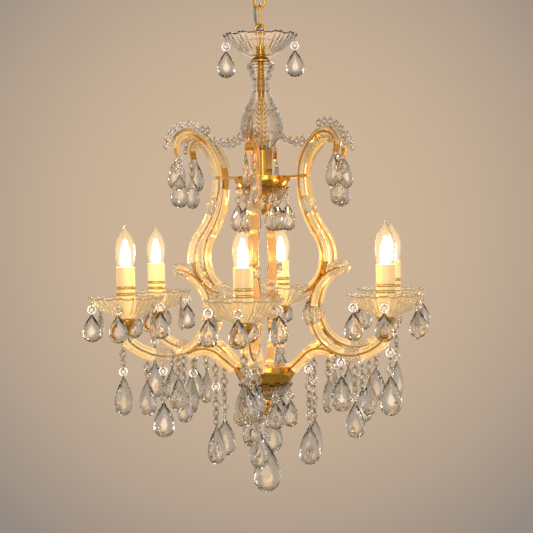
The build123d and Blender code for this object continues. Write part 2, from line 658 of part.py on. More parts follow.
def make_drip_cup():
    """Tulip-shaped cup with a thin disc on top that carries the glass dish."""
    outline = [
        (0, CUP_BASE_Z + SLIP),
        (CUP_STEM_R - 0.8, CUP_BASE_Z + SLIP),
        (CUP_STEM_R, CUP_BASE_Z + CUP_HEIGHT * 0.10),
        (CUP_STEM_R + 0.6, CUP_BASE_Z + CUP_HEIGHT * 0.28),
        (CUP_DISC_R * 0.56, CUP_BASE_Z + CUP_HEIGHT * 0.50),
        (CUP_DISC_R * 0.76, CUP_BASE_Z + CUP_HEIGHT * 0.72),
        (CUP_DISC_R * 0.82, CUP_TOP_Z - 1.6),
        (CUP_DISC_R, CUP_TOP_Z - 1.2),
        (CUP_DISC_R, CUP_TOP_Z),
        (0, CUP_TOP_Z),
    ]
    return turned(outline) - Pos(0, 0, CUP_TOP_Z) * Cylinder(NIPPLE_R + SLIP, 12)


def make_lamp_holder():
    nipple_bottom = CUP_TOP_Z - 6 + SLIP
    body_r = SLEEVE_R - SLEEVE_WALL - SLIP
    outline = [
        (0, nipple_bottom),
        (NIPPLE_R, nipple_bottom),
        (NIPPLE_R, CANDLE_BASE_Z),
        (body_r, CANDLE_BASE_Z),
        (body_r, CANDLE_BASE_Z + 20),
        (SOCKET_R + 3, CANDLE_BASE_Z + 24),
        (SOCKET_R + 3, HOLDER_TOP_Z),
        (0, HOLDER_TOP_Z),
    ]
    return turned(outline) - Pos(0, 0, HOLDER_TOP_Z) * Cylinder(SOCKET_R, 2 * SOCKET_DEPTH)


def make_sleeve():
    height = SLEEVE_TOP_Z - CANDLE_BASE_Z
    tube = Cylinder(SLEEVE_R, height) - Cylinder(SLEEVE_R - SLEEVE_WALL, height + 2)
    return Pos(0, 0, SLEEVE_TOP_Z - height / 2) * tube


def bulb_profile(shrink):
    """Half outline of a candle bulb's glass, closed along the axis."""
    foot_z = HOLDER_TOP_Z + 1.2
    wall = Spline(
        (BULB_CAP_R + 0.6 - shrink, 0, foot_z),
        (SLEEVE_R - 2.2 - shrink, 0, SLEEVE_TOP_Z - 2),
        (BULB_R - shrink, 0, BULB_BELLY_Z),
        (BULB_R * 0.62 - shrink, 0, BULB_TIP_Z - 16.5),
        (0, 0, BULB_TIP_Z - 2 * shrink),
        tangents=[(0.35, 0, 1), (-0.32, 0, 1)],
    )
    return make_face(Curve() + [wall, Polyline(wall @ 1, (0, 0, foot_z), wall @ 0)])


def make_bulb_envelope():
    glass = revolve(bulb_profile(0), Axis.Z)
    return glass - revolve(bulb_profile(BULB_WALL), Axis.Z)


def make_bulb_cap():
    top = HOLDER_TOP_Z + 1.1
    bottom = HOLDER_TOP_Z - SOCKET_DEPTH + SLIP
    outline = [
        (0, top),
        (BULB_CAP_R + 0.6, top),
        (BULB_CAP_R, top - 1.5),
        (BULB_CAP_R, bottom + 5),
        (2.5, bottom + 1.5),
        (2.5, bottom),
        (0, bottom),
    ]
    return turned(outline)


def make_bulb_filament():
    """Glass post with four upright light sticks between two small discs."""
    base = HOLDER_TOP_Z + 1.2
    low = base + 18
    high = BULB_BELLY_Z + 14
    frame = Pos(0, 0, (base + low) / 2) * Cylinder(2, low - base)
    for z in (low, high):
        frame = frame + Pos(0, 0, z) * Cylinder(4.6, 1)
    for place in PolarLocations(3.6, 4):
        frame = frame + place * Pos(0, 0, (low + high) / 2) * Cylinder(0.9, high - low)
    return frame


def make_wiring():
    """Flex of one arm, tied to the side of its bars from the cup to the upper hub."""
    side_y = BAR_WIDTH / 2 + WIRING_R + SLIP

    def run(centre, radius, start, stop):
        return along_arc(Pos(radius, side_y) * Circle(WIRING_R), centre, start, stop)

    wire = run(TAIL_CENTRE_2, TAIL_R2, TAIL_BREAK, 0)
    wire = wire + run(TAIL_CENTRE_1, TAIL_R1, -90, TAIL_BREAK)
    wire = wire + run(SCROLL_CENTRE, SCROLL_R, SCROLL_TOUCH, 270)
    wire = wire + run(BULGE_CENTRE, BULGE_R, SCROLL_CONTACT_ANGLE, BULGE_TOP_ANGLE)
    wire = wire + run(LOWER_CENTRE, LOWER_R, 180, 180 + BULGE_TOP_ANGLE)
    low = arc_point(SCROLL_CENTRE, SCROLL_R, SCROLL_TOUCH)
    high = arc_point(BULGE_CENTRE, BULGE_R, SCROLL_CONTACT_ANGLE)
    step = hypot(high[0] - low[0], high[1] - low[1])
    bridge = Pos((low[0] + high[0]) / 2, side_y, (low[1] + high[1]) / 2)
    bridge = bridge * Rot(0, 90 - SCROLL_CONTACT_ANGLE, 0) * Cylinder(WIRING_R, step)
    for end in (low, high):
        wire = wire + Pos(end[0], side_y, end[1]) * Sphere(WIRING_R)
    inward = WAIST_RADIUS - UPPER_HUB_R - SLIP
    to_hub = Pos(WAIST_RADIUS - inward / 2, side_y, WAIST_Z) * Rot(0, 90, 0) * Cylinder(WIRING_R, inward)
    knee = Pos(WAIST_RADIUS, side_y, WAIST_Z) * Sphere(WIRING_R)
    hub_edge = Pos(0, 0, WAIST_Z) * Cylinder(UPPER_HUB_R + SLIP, 20)
    return wire + bridge + to_hub + knee - hub_edge


# Crystals: flat-cut stones that hang from z = 0 with their faces to +Y and -Y


def cut_stone(outline, thickness, table, middle_z):
    """A flat stone with a sharp girdle and a flat table on each face."""
    girdle = make_face(Polyline(*[(x, 0, z) for x, z in outline], close=True))
    faces = [(x * table, (z - middle_z) * table + middle_z) for x, z in outline]
    tables = []
    for y in (-thickness / 2, thickness / 2):
        tables.append(make_face(Polyline(*[(x, y, z) for x, z in faces], close=True)))
    return loft([tables[0], girdle, tables[1]], ruled=True)


def make_bead(radius, thickness):
    """Octagon bead with its top edge on z = 0."""
    flat = radius * cos(pi / 8)
    outline = []
    for i in range(8):
        angle = pi / 8 + i * pi / 4
        outline.append((radius * cos(angle), radius * sin(angle) - flat))
    return cut_stone(outline, thickness, 0.52, -flat)


def make_pear(size):
    """Pear drop with its narrow end on z = 0."""
    width, height, thickness = size
    sides = 5
    half = []
    for i in range(1, sides):
        turn = pi * (0.14 + 0.86 * i / sides)
        half.append((width * 0.65 * sin(turn) * sin(turn / 2), -height * (1 - cos(turn)) / 2))
    tip = [(width * 0.06, 0), (-width * 0.06, 0)]
    outline = tip[1:] + tip[:1] + half + [(0, -height)] + [(-x, z) for x, z in reversed(half)]
    return cut_stone(outline, thickness, 0.5, -height * 0.62)


BEAD = make_bead(BEAD_R, BEAD_THICKNESS)
BEAD_PITCH = 2 * BEAD_R * cos(pi / 8) + CRYSTAL_GAP
SMALL_BEAD = make_bead(SMALL_BEAD_R, SMALL_BEAD_THICKNESS)
SMALL_BEAD_PITCH = 2 * SMALL_BEAD_R * cos(pi / 8) + CRYSTAL_GAP
PEARS = {size: make_pear(size) for size in (SMALL_PEAR, LONG_PEAR, ARM_PEAR, CROOK_PEAR, CENTRE_PEAR)}


def strand(beads, pear, turn, pin_length=PIN_LENGTH, twist=75.0):
    """Wire pin, a run of octagon beads and a pear drop, hung from the origin."""
    pieces = [Pos(0, 0, -pin_length / 2) * Cylinder(PIN_R, pin_length)]
    z = -pin_length - CRYSTAL_GAP / 2
    for i in range(beads):
        pieces.append(Pos(0, 0, z) * Rot(0, 0, turn + twist * i) * BEAD)
        z = z - BEAD_PITCH
    pieces.append(Pos(0, 0, z) * Rot(0, 0, turn) * PEARS[pear])
    return pieces


def moved(place, pieces):
    return [place * piece for piece in pieces]


def hang_height(underside, r):
    """Height at which a pin hangs clear below a sloping underside at radius r."""
    return min(underside(r - PIN_R), underside(r + PIN_R)) - SWING_GAP


def make_bobeche_drops(k):
    """Drops on the rim of one candle dish, each under the middle of a petal."""
    hang_r = DISH_R - 5.5
    z = DISH_SEAT_Z + hang_height(lambda r: dish_underside(DISH_R, DISH_DEPTH, r), hang_r)
    pieces = []
    for i in range(6):
        turn = 60 * i
        place = Rot(0, 0, turn) * Pos(hang_r, 0, z)
        pieces.extend(moved(place, strand(1, SMALL_PEAR, 90 + 35 * ((i + k) % 3))))
    return [ring_place(k, at_candle(piece)) for piece in pieces]


def make_dish_drops():
    hang_r = DISH_R - 5.5
    z = DISH_FLOOR_Z + hang_height(lambda r: dish_underside(DISH_R, DISH_DEPTH, r), hang_r)
    pieces = []
    for x in (-hang_r, hang_r):
        pieces.extend(moved(Pos(x, 0, z), strand(1, SMALL_PEAR, 0)))
    return pieces


def bar_under(centre, radius, r):
    """Height of the underside of a bare bar at radius r."""
    reach = radius + BAR_THICKNESS / 2
    return centre[1] - sqrt(reach**2 - (r - centre[0]) ** 2)


def glass_under(centre, radius, r):
    """Height of the underside of a bar's outer glass strip at radius r."""
    return bar_under(centre, radius + SLIP + STRIP_HEIGHT, r)


STRAND_1_R = CANDLE_CIRCLE_R + 6.0
STRAND_2_R = 186.0
ROSETTE_REACH = TAIL_R1 + BAR_THICKNESS / 2 + SLIP + ROSETTE_HEIGHT
ROSETTE_FOOT = arc_point(TAIL_CENTRE_1, ROSETTE_REACH, TAIL_ROSETTE_ANGLE)
STRAND_3_R = ROSETTE_FOOT[0]
STRAND_4_R = 138.0
STRAND_5_R = 115.0
HUB_STRAND_R = 80.0


def facing_front(k, turn):
    """Turn that sets a stone on arm k at a given angle to the front."""
    return turn - ARM_PHASE - 360 / ARM_COUNT * k


def strut_arc_under(r):
    """Height of the underside of the strut's inner glass strip at radius r, where the strut is bent."""
    reach = STRUT_R - BAR_THICKNESS / 2 - SLIP - STRIP_HEIGHT
    return STRUT_CENTRE[1] + sqrt(reach**2 - (r - STRUT_CENTRE[0]) ** 2)


def make_arm_strands(k):
    """Five strands under one arm, from the candle end to the strut."""
    seats = [
        (STRAND_1_R, lambda r: glass_under(TAIL_CENTRE_2, TAIL_R2, r), 7.0, 3, ARM_PEAR),
        (STRAND_2_R, lambda r: glass_under(TAIL_CENTRE_1, TAIL_R1, r), 4.0, 2, LONG_PEAR),
        (STRAND_3_R, lambda r: ROSETTE_FOOT[1], 4.0, 4, LONG_PEAR),
        (STRAND_4_R, lambda r: bar_under(SCROLL_CENTRE, SCROLL_R, r), 4.0, 2, LONG_PEAR),
        (STRAND_5_R, strut_arc_under, 4.0, 2, LONG_PEAR),
    ]
    pieces = []
    for i, (r, underside, pin, beads, pear) in enumerate(seats):
        turn = 90 if r == STRAND_5_R else facing_front(k, 35 * ((i + k) % 3) - 30)
        place = Pos(r, 0, hang_height(underside, r))
        pieces.extend(moved(place, strand(beads, pear, turn, pin)))
    return [ring_place(k, piece) for piece in pieces]


CROOK_TIP = arc_point(CROOK_CENTRE, CROOK_R, CROOK_TIP_ANGLE)


def make_crook_drops(k):
    """Two drops side by side under the tip of one crook."""
    z = CROOK_TIP[1] - PIN_R * sin(radians(-CROOK_TIP_ANGLE)) - SWING_GAP
    pieces = []
    for y, beads in ((-CROOK_DROP_OFFSET, 0), (CROOK_DROP_OFFSET, 2)):
        pieces.extend(moved(Pos(CROOK_TIP[0], y, z), strand(beads, CROOK_PEAR, 0, twist=0.0)))
    return [ring_place(k, piece) for piece in pieces]


def strut_under(r):
    """Height of the underside of the strut's lower glass strip at radius r."""
    reach = BAR_THICKNESS / 2 + SLIP + STRIP_HEIGHT
    foot = (STRUT_LEAVE[0] - reach * STRUT_SLOPE[1], STRUT_LEAVE[1] + reach * STRUT_SLOPE[0])
    return foot[1] + (r - foot[0]) / STRUT_SLOPE[0] * STRUT_SLOPE[1]


def make_hub_strands(first):
    """The strands below two neighbouring struts."""
    pieces = []
    for k in (first, first + 1):
        z = hang_height(strut_under, HUB_STRAND_R)
        turn = facing_front(k, 30 * (k % 3) - 25)
        hung = moved(Pos(HUB_STRAND_R, 0, z), strand(7, ARM_PEAR, turn, 5.0))
        pieces.extend([ring_place(k, piece) for piece in hung])
    return pieces


def make_central_drop():
    return moved(Pos(0, 0, LOWER_FINIAL_TIP_Z - SWING_GAP), strand(3, CENTRE_PEAR, 15))


def make_swags():
    """Bead swags from the vase to the lyres and over the crooks, and short drops at the hub dishes."""
    pieces = []
    pitch = 2 * SMALL_BEAD_R + SLIP
    hang_r = HUB_DISH_R - 5.0
    rim = hang_height(lambda r: dish_underside(HUB_DISH_R, HUB_DISH_DEPTH, r), hang_r)
    crook_r = CROOK_R + BAR_THICKNESS / 2 + SLIP + STRIP_HEIGHT + SWING_GAP + SMALL_BEAD_PITCH / 2
    feet = [finial_bottom_z(UPPER_HUB_Z, UPPER_HUB_DEPTH), finial_bottom_z(LOWER_HUB_Z, LOWER_HUB_DEPTH)]
    for k in range(ARM_COUNT):
        z = VASE_BELLY_Z - 20.5
        r = vase_radius(z - SMALL_BEAD_R * 0.5) + SMALL_BEAD_R + SWING_GAP
        pieces.append(ring_place(k, Pos(r, 0, z) * SMALL_BEAD))
        for heading in (-31, -17, -3, 11):
            r = r + pitch * cos(radians(heading))
            z = z + pitch * sin(radians(heading))
            pieces.append(ring_place(k, Pos(r, 0, z) * SMALL_BEAD))
        for i in range(CROOK_BEADS):
            angle = CROOK_BEAD_START + i * arc_span(pitch, crook_r)
            place = arc_point(CROOK_CENTRE, crook_r + SMALL_BEAD_PITCH / 2, angle)
            bead = Pos(place[0], 0, place[1]) * Rot(0, 90 - angle, 0) * SMALL_BEAD
            pieces.append(ring_place(k, bead))
        for foot_z in feet:
            turn = facing_front(k + 0.5, 40 * (k % 2) - 20)
            for piece in strand(1, SMALL_PEAR, turn):
                pieces.append(ring_place(k + 0.5, Pos(hang_r, 0, foot_z + rim) * piece))
    return pieces


def save(name, shape):
    body = Compound(children=list(shape)) if isinstance(shape, list) else shape
    export_step(body, f"parts/{name}.step")


os.makedirs("parts", exist_ok=True)
LINK = make_link()
DISH = make_dish(DISH_R, DISH_DEPTH, DISH_HOLE_R)
HUB_DISH = make_dish(HUB_DISH_R, HUB_DISH_DEPTH, STEM_R + SLIP)
FLOWER = make_rosette()
ARM = make_arm()

save("ceiling_bracket", make_bracket())
save("ceiling_canopy", make_canopy())
save("canopy_hook", make_canopy_hook())
save("chain_link_1", Pos(0, 0, LINK_1_TOP_Z) * LINK)
save("chain_link_2", Pos(0, 0, LINK_2_TOP_Z) * Rot(0, 0, 90) * LINK)
save("supply_cable", make_supply_cable())
save("stem_loop", make_stem_loop())
save("stem_tube", make_stem_tube())
save("top_dish", Pos(0, 0, DISH_FLOOR_Z) * make_dish(DISH_R, DISH_DEPTH, STEM_R + SLIP))
save("dish_cap", make_dish_cap())
save("vase", make_vase())
lug_reach = WAIST_RADIUS - BAR_THICKNESS / 2 - SLIP
save("upper_hub_bowl", make_hub(UPPER_HUB_Z, UPPER_HUB_R, UPPER_HUB_DEPTH, lug_reach))
save("lower_hub_bowl", make_hub(LOWER_HUB_Z, LOWER_HUB_R, LOWER_HUB_DEPTH, 0))
hubs = ((UPPER_HUB_Z, UPPER_HUB_DEPTH), (LOWER_HUB_Z, LOWER_HUB_DEPTH))
save("hub_dishes", [Pos(0, 0, finial_bottom_z(z, depth)) * HUB_DISH for z, depth in hubs])
spacers = [make_spacer(z, depth) for z, depth in hubs]
save("hub_finials", [make_upper_finial(), make_lower_finial()] + spacers)
save("arm_glass", [piece for strip in make_arm_glass() for piece in on_arms(strip)])
save("rosettes", [piece for rosette in make_arm_rosettes(FLOWER) for piece in on_arms(rosette)])
save("drip_cups", on_arms(at_candle(make_drip_cup())))
save("lamp_holders", on_arms(at_candle(make_lamp_holder())))
save("candle_sleeves", on_arms(at_candle(make_sleeve())))
save("bulb_envelopes", on_arms(at_candle(make_bulb_envelope())))
save("bulb_caps", on_arms(at_candle(make_bulb_cap())))
save("bulb_filaments", on_arms(at_candle(make_bulb_filament())))
save("lamp_wiring", on_arms(make_wiring()))
save("bead_swags", make_swags())
save("central_drop", make_central_drop())
save("dish_drops", make_dish_drops())
for index, letter in enumerate("abc"):
    save(f"hub_strands_{letter}", make_hub_strands(2 * index))
for k in range(ARM_COUNT):
    save(f"arm_{k + 1}", [ring_place(k, bar) for bar in ARM])
    save(f"bobeche_{k + 1}", ring_place(k, at_candle(Pos(0, 0, DISH_SEAT_Z) * DISH)))
    save(f"bobeche_drops_{k + 1}", make_bobeche_drops(k))
    save(f"arm_strands_{k + 1}", make_arm_strands(k))
    save(f"crook_drops_{k + 1}", make_crook_drops(k))
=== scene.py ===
import json
import logging
from dataclasses import dataclass, field
from enum import Enum
from math import cos, pi, radians, sin

import bmesh
import bpy
import numpy as np
from mathutils import Matrix, Vector

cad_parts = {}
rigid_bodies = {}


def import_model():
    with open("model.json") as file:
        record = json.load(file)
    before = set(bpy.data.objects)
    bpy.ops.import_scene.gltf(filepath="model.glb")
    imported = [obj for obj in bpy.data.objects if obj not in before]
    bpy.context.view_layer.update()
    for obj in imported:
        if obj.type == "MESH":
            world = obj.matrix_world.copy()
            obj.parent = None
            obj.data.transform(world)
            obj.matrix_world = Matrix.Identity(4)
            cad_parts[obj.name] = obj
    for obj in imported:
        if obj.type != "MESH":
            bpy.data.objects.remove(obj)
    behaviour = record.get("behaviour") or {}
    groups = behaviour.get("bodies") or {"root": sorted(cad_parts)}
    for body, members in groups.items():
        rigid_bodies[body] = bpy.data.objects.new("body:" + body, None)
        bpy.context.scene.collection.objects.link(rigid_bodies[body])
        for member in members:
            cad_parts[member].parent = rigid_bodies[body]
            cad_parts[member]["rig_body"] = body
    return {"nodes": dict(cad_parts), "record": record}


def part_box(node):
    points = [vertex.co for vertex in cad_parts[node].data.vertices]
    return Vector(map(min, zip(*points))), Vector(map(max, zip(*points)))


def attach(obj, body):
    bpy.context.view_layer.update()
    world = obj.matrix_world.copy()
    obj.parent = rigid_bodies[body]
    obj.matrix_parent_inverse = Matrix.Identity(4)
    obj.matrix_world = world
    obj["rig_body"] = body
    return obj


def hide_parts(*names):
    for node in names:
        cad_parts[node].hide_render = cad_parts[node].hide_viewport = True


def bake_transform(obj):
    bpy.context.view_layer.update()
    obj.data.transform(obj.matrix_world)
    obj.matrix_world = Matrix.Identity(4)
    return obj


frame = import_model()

LOG = logging.getLogger("chandelier")
MM = 0.001
NODES = frame["nodes"]
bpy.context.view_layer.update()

ARM_COUNT = 6
ARM_PHASE_DEG = -97.4
CANDLE_CIRCLE_MM = 216.0


# Shared tools


def linear(code: str) -> tuple[float, float, float, float]:
    """Turn an sRGB hex colour into linear RGBA.

    Args:
        code: colour as #RRGGBB.

    Returns:
        Linear red, green, blue and an alpha of one.
    """
    values = [int(code[i:i + 2], 16) / 255 for i in (1, 3, 5)]
    r, g, b = [v / 12.92 if v <= 0.04045 else ((v + 0.055) / 1.055) ** 2.4 for v in values]
    return (r, g, b, 1.0)


def per_mm(size_mm: float) -> float:
    """Find the texture scale for a pattern.

    Args:
        size_mm: size of one feature of the pattern.

    Returns:
        The scale at which it has that size.
    """
    return 1.0 / MM / size_mm


def add_node(
    tree: bpy.types.NodeTree, kind: str, settings: dict | None = None, links: dict | None = None
) -> bpy.types.Node:
    """Add one shader node with its settings and its incoming links.

    Args:
        tree: node tree to add to.
        kind: Blender's type name of the node.
        settings: input values or node properties by name.
        links: output sockets by the name of the input that they feed.

    Returns:
        The new node.
    """
    node = tree.nodes.new(kind)
    for name, value in (settings or {}).items():
        if name in node.inputs:
            node.inputs[name].default_value = value
        else:
            setattr(node, name, value)
    for name, source in (links or {}).items():
        tree.links.new(source, node.inputs[name])
    return node


def arm_angle(k: int) -> float:
    """Find the bearing of an arm about the lamp's axis.

    Args:
        k: number of the arm, from zero.

    Returns:
        The bearing in radians.
    """
    return radians(ARM_PHASE_DEG + 360 / ARM_COUNT * k)


def round_steps(count: int) -> np.ndarray:
    """Divide a full turn evenly.

    Args:
        count: number of steps.

    Returns:
        Their bearings in radians.
    """
    return np.arange(count) * 2 * pi / count


def ring_points(radius: float | np.ndarray, angles: np.ndarray, height: float | np.ndarray) -> np.ndarray:
    """Lay a ring of points about the upright axis.

    Args:
        radius: one radius, or one for each bearing.
        angles: bearings in radians.
        height: one height, or one for each bearing.

    Returns:
        One row of x, y and z for each bearing.
    """
    heights = np.zeros(len(angles)) + height
    return np.stack([radius * np.cos(angles), radius * np.sin(angles), heights], 1)


class Body(str, Enum):
    """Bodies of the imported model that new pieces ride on."""

    CEILING = "ceiling"
    LINK_1 = "link_1"
    LINK_2 = "link_2"
    FRAME = "frame"


# Finishes

# Transmission from which a piece lets light pass.
CLEAR_FROM = 0.4
# How far a finish drifts over its surface: darkening, range of the noise, and share of the roughness.
DRIFT_DARKENING = 2.5
DRIFT_RANGE = (0.3, 0.7)
DRIFT_ROUGHNESS = (0.7, 1.3)


@dataclass(frozen=True)
class Finish:
    """One surface finish: what the real material is, and how it meets the light."""

    name: str
    colour: str
    roughness: float
    metallic: float = 0.0
    transmission: float = 0.0
    ior: float = 1.5
    coat: float = 0.0
    wave_mm: float = 12.0
    wave_depth_mm: float = 0.02
    mottle_mm: float = 20.0
    mottle: float = 0.06
    glow: str = "#000000"
    glow_strength: float = 0.0
    glow_low_mm: float = 0.0
    glow_high_mm: float = 0.0

    def material(self) -> bpy.types.Material:
        """Build the node material of this finish.

        Returns:
            The material, made once and shared by all its pieces.
        """
        made = bpy.data.materials.get(self.name)
        if made is not None:
            return made
        made = bpy.data.materials.new(self.name)
        made.use_nodes = True
        tree = made.node_tree
        shader = tree.nodes["Principled BSDF"]
        shader.inputs["Base Color"].default_value = linear(self.colour)
        shader.inputs["Roughness"].default_value = self.roughness
        shader.inputs["Metallic"].default_value = self.metallic
        shader.inputs["Transmission Weight"].default_value = self.transmission
        shader.inputs["Coat Weight"].default_value = self.coat
        if self.metallic < 1.0:
            shader.inputs["IOR"].default_value = self.ior
        place = add_node(tree, "ShaderNodeTexCoord").outputs["Object"]
        if self.mottle > 0:
            self.drift(tree, shader, place)
        if self.wave_depth_mm > 0:
            self.waves(tree, shader, place)
        if self.glow_strength > 0:
            self.emit_or_paint_glow(tree, shader, place)
        return made

    def drift(self, tree: bpy.types.NodeTree, shader: bpy.types.Node, place: bpy.types.NodeSocket) -> None:
        """Let the colour and the roughness drift over the surface.

        Args:
            tree: the material's node tree.
            shader: its surface shader.
            place: socket with the place on the object.
        """
        cloud = add_node(
            tree, "ShaderNodeTexNoise", {"Scale": per_mm(self.mottle_mm), "Detail": 3.0}, {"Vector": place}
        ).outputs["Fac"]
        light = linear(self.colour)
        dark = tuple(v * (1 - DRIFT_DARKENING * self.mottle) for v in light[:3]) + (1.0,)
        ramp = add_node(tree, "ShaderNodeValToRGB", {}, {"Fac": cloud})
        for stop, spot, colour in zip(ramp.color_ramp.elements, DRIFT_RANGE, (dark, light)):
            stop.position = spot
            stop.color = colour
        tree.links.new(ramp.outputs["Color"], shader.inputs["Base Color"])
        least, most = DRIFT_ROUGHNESS
        ends = {"To Min": self.roughness * least, "To Max": self.roughness * most}
        rough = add_node(tree, "ShaderNodeMapRange", ends, {"Value": cloud})
        tree.links.new(rough.outputs["Result"], shader.inputs["Roughness"])

    def waves(self, tree: bpy.types.NodeTree, shader: bpy.types.Node, place: bpy.types.NodeSocket) -> None:
        """Add the soft waves that moulding, rolling or drawing leaves.

        Args:
            tree: the material's node tree.
            shader: its surface shader.
            place: socket with the place on the object.
        """
        swell = add_node(
            tree, "ShaderNodeTexNoise", {"Scale": per_mm(self.wave_mm), "Detail": 1.5}, {"Vector": place}
        ).outputs["Fac"]
        bump = add_node(tree, "ShaderNodeBump", {"Distance": self.wave_depth_mm * MM}, {"Height": swell})
        tree.links.new(bump.outputs["Normal"], shader.inputs["Normal"])

    def emit_or_paint_glow(self, tree: bpy.types.NodeTree, shader: bpy.types.Node, place: bpy.types.NodeSocket) -> None:
        """Give the material its emission: the lamp's own light in the lit sticks and bulb glass, and
        elsewhere a painted glow that stands in for bulb light, evenly or from one height to another.

        Args:
            tree: the material's node tree.
            shader: its surface shader.
            place: socket with the place on the object.
        """
        shader.inputs["Emission Color"].default_value = linear(self.glow)
        shader.inputs["Emission Strength"].default_value = self.glow_strength
        if self.glow_low_mm == self.glow_high_mm:
            return
        height = add_node(tree, "ShaderNodeSeparateXYZ", {}, {"Vector": place}).outputs["Z"]
        ends = {
            "From Min": self.glow_low_mm * MM,
            "From Max": self.glow_high_mm * MM,
            "To Max": self.glow_strength,
            "interpolation_type": "SMOOTHSTEP",
        }
        rise = add_node(tree, "ShaderNodeMapRange", ends, {"Value": height})
        tree.links.new(rise.outputs["Result"], shader.inputs["Emission Strength"])


# Lacquered brass, rolled and polished: a warm mirror with a faint orange peel in the lacquer.
BRASS = Finish(
    "lacquered_brass", "#E3AC4A", 0.16, metallic=1.0, wave_mm=5.0, wave_depth_mm=0.02, mottle=0.08
)
# Pressed soda glass, fire-polished: soft mould waves bend what lies behind it.
MOULDED = Finish(
    "pressed_soda_glass",
    "#FDF9F0",
    0.02,
    transmission=1.0,
    ior=1.4,
    wave_mm=7.0,
    wave_depth_mm=0.1,
    mottle=0.0,
)
# The same glass close to the bulbs, with an even painted glow that stands in for the candlelight gathering
# in its ribs.
CANDLE_GLOW_GLASS = Finish(
    "glass_painted_candle_glow",
    "#FCF3DF",
    0.02,
    transmission=1.0,
    wave_mm=7.0,
    wave_depth_mm=0.1,
    mottle=0.0,
    glow="#FFDDA6",
    glow_strength=0.06,
)
# Pressed strips that lie on gilt bars, with a painted warm glow that rises from the crooks down towards the
# bulbs, standing in for candlelight and the lit gold behind them.
STRIP_GLOW_GLASS = Finish(
    "strip_glass_painted_glow",
    "#FDEBC0",
    0.03,
    transmission=1.0,
    wave_mm=6.0,
    wave_depth_mm=0.12,
    mottle=0.0,
    glow="#FFD996",
    glow_strength=0.17,
    glow_low_mm=-205.0,
    glow_high_mm=-440.0,
)
# Machine-cut crystal: sharp polished facets, clear and a little brighter than plain glass.
CRYSTAL = Finish(
    "machine_cut_crystal", "#F9F3E6", 0.01, transmission=1.0, ior=1.56, wave_depth_mm=0.0, mottle=0.0
)
# Blown bulb glass: thin and clear, with the glare of the lit part in it.
BULB = Finish(
    "blown_bulb_glass",
    "#FFFBF0",
    0.01,
    transmission=1.0,
    ior=1.12,
    wave_depth_mm=0.0,
    mottle=0.0,
    glow="#FFE6B4",
    glow_strength=0.07,
    glow_low_mm=-402.0,
    glow_high_mm=-446.0,
)
# Extruded ivory plastic: semi-gloss with faint milky clouds, and a painted glow rising towards the top that
# stands in for its bulb shining through.
IVORY = Finish(
    "extruded_ivory_plastic",
    "#F6E2B4",
    0.38,
    ior=1.49,
    coat=0.1,
    wave_mm=6.0,
    wave_depth_mm=0.05,
    mottle=0.03,
    glow="#FFC777",
    glow_strength=0.55,
    glow_low_mm=-545.0,
    glow_high_mm=-462.0,
)
# Hot-stamped gold foil.
FOIL = Finish("gold_foil", "#F4CF78", 0.24, metallic=1.0, wave_mm=4.0, wave_depth_mm=0.02, mottle=0.05)
# Lit coating of the bulb's light sticks.
LIT = Finish(
    "lit_phosphor", "#FFE2A8", 0.6, wave_depth_mm=0.0, mottle=0.0, glow="#FFE3B0", glow_strength=30.0
)
# Zinc-plated strip steel.
STEEL = Finish("zinc_steel", "#9A9DA0", 0.35, metallic=1.0, wave_mm=3.0, wave_depth_mm=0.02)
# Nickel-plated cap.
NICKEL = Finish("nickel_plate", "#B9B6B0", 0.22, metallic=1.0)
# Matt black phenolic moulding.
PHENOLIC = Finish("black_phenolic", "#1B1A19", 0.55, ior=1.55)
# Clear PVC flex over a pale conductor: greyish and glossy.
FLEX = Finish("clear_pvc", "#B9B4A6", 0.22, transmission=0.55, ior=1.5, wave_mm=10.0)


def dress(obj: bpy.types.Object, finish: Finish, smooth: bool | None = None) -> bpy.types.Object:
    """Give an object one finish, and let light pass a clear one.

    Args:
        obj: mesh object.
        finish: its finish.
        smooth: smooth or flat shading, or None to leave it.

    Returns:
        The same object.
    """
    obj.data.materials.clear()
    obj.data.materials.append(finish.material())
    if smooth is not None:
        obj.data.polygons.foreach_set("use_smooth", [smooth] * len(obj.data.polygons))
    if finish.transmission > CLEAR_FROM:
        obj.visible_shadow = False
    return obj


@dataclass
class MeshPile:
    """Points and faces of one piece, gathered shape by shape."""

    points: list = field(default_factory=list)
    faces: list = field(default_factory=list)
    kinds: list = field(default_factory=list)
    count: int = 0

    def add(self, points: np.ndarray, faces: list, kind: int = 0) -> None:
        """Add one shape.

        Args:
            points: its points in metres, one row each.
            faces: its faces as lists of point numbers.
            kind: number of the finish that its faces take.
        """
        self.points.append(np.asarray(points, float))
        self.faces.extend([[i + self.count for i in face] for face in faces])
        self.kinds.extend([kind] * len(faces))
        self.count += len(points)

    def piece(
        self,
        name: str,
        body: str,
        finishes: list[Finish],
        smooth: list[bool],
        replaces: tuple | list = (),
    ) -> bpy.types.Object:
        """Make the piece, and set it on its body.

        Args:
            name: name of the piece.
            body: body that it rides on.
            finishes: finishes by kind.
            smooth: smooth shading by kind.
            replaces: names of the nodes that it stands for.

        Returns:
            The new object.
        """
        mesh = bpy.data.meshes.new(name)
        mesh.from_pydata(np.concatenate(self.points).tolist(), [], self.faces)
        for finish in finishes:
            mesh.materials.append(finish.material())
        mesh.polygons.foreach_set("material_index", self.kinds)
        mesh.polygons.foreach_set("use_smooth", [smooth[k] for k in self.kinds])
        mesh.validate()
        work = bmesh.new()
        work.from_mesh(mesh)
        bmesh.ops.recalc_face_normals(work, faces=work.faces)
        work.to_mesh(mesh)
        work.free()
        mesh.update()
        obj = bpy.data.objects.new(name, mesh)
        bpy.context.scene.collection.objects.link(obj)
        if finishes[0].transmission > CLEAR_FROM:
            obj.visible_shadow = False
        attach(obj, body)
        if replaces:
            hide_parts(*replaces)
        LOG.info("%s: %d faces", name, len(mesh.polygons))
        return obj


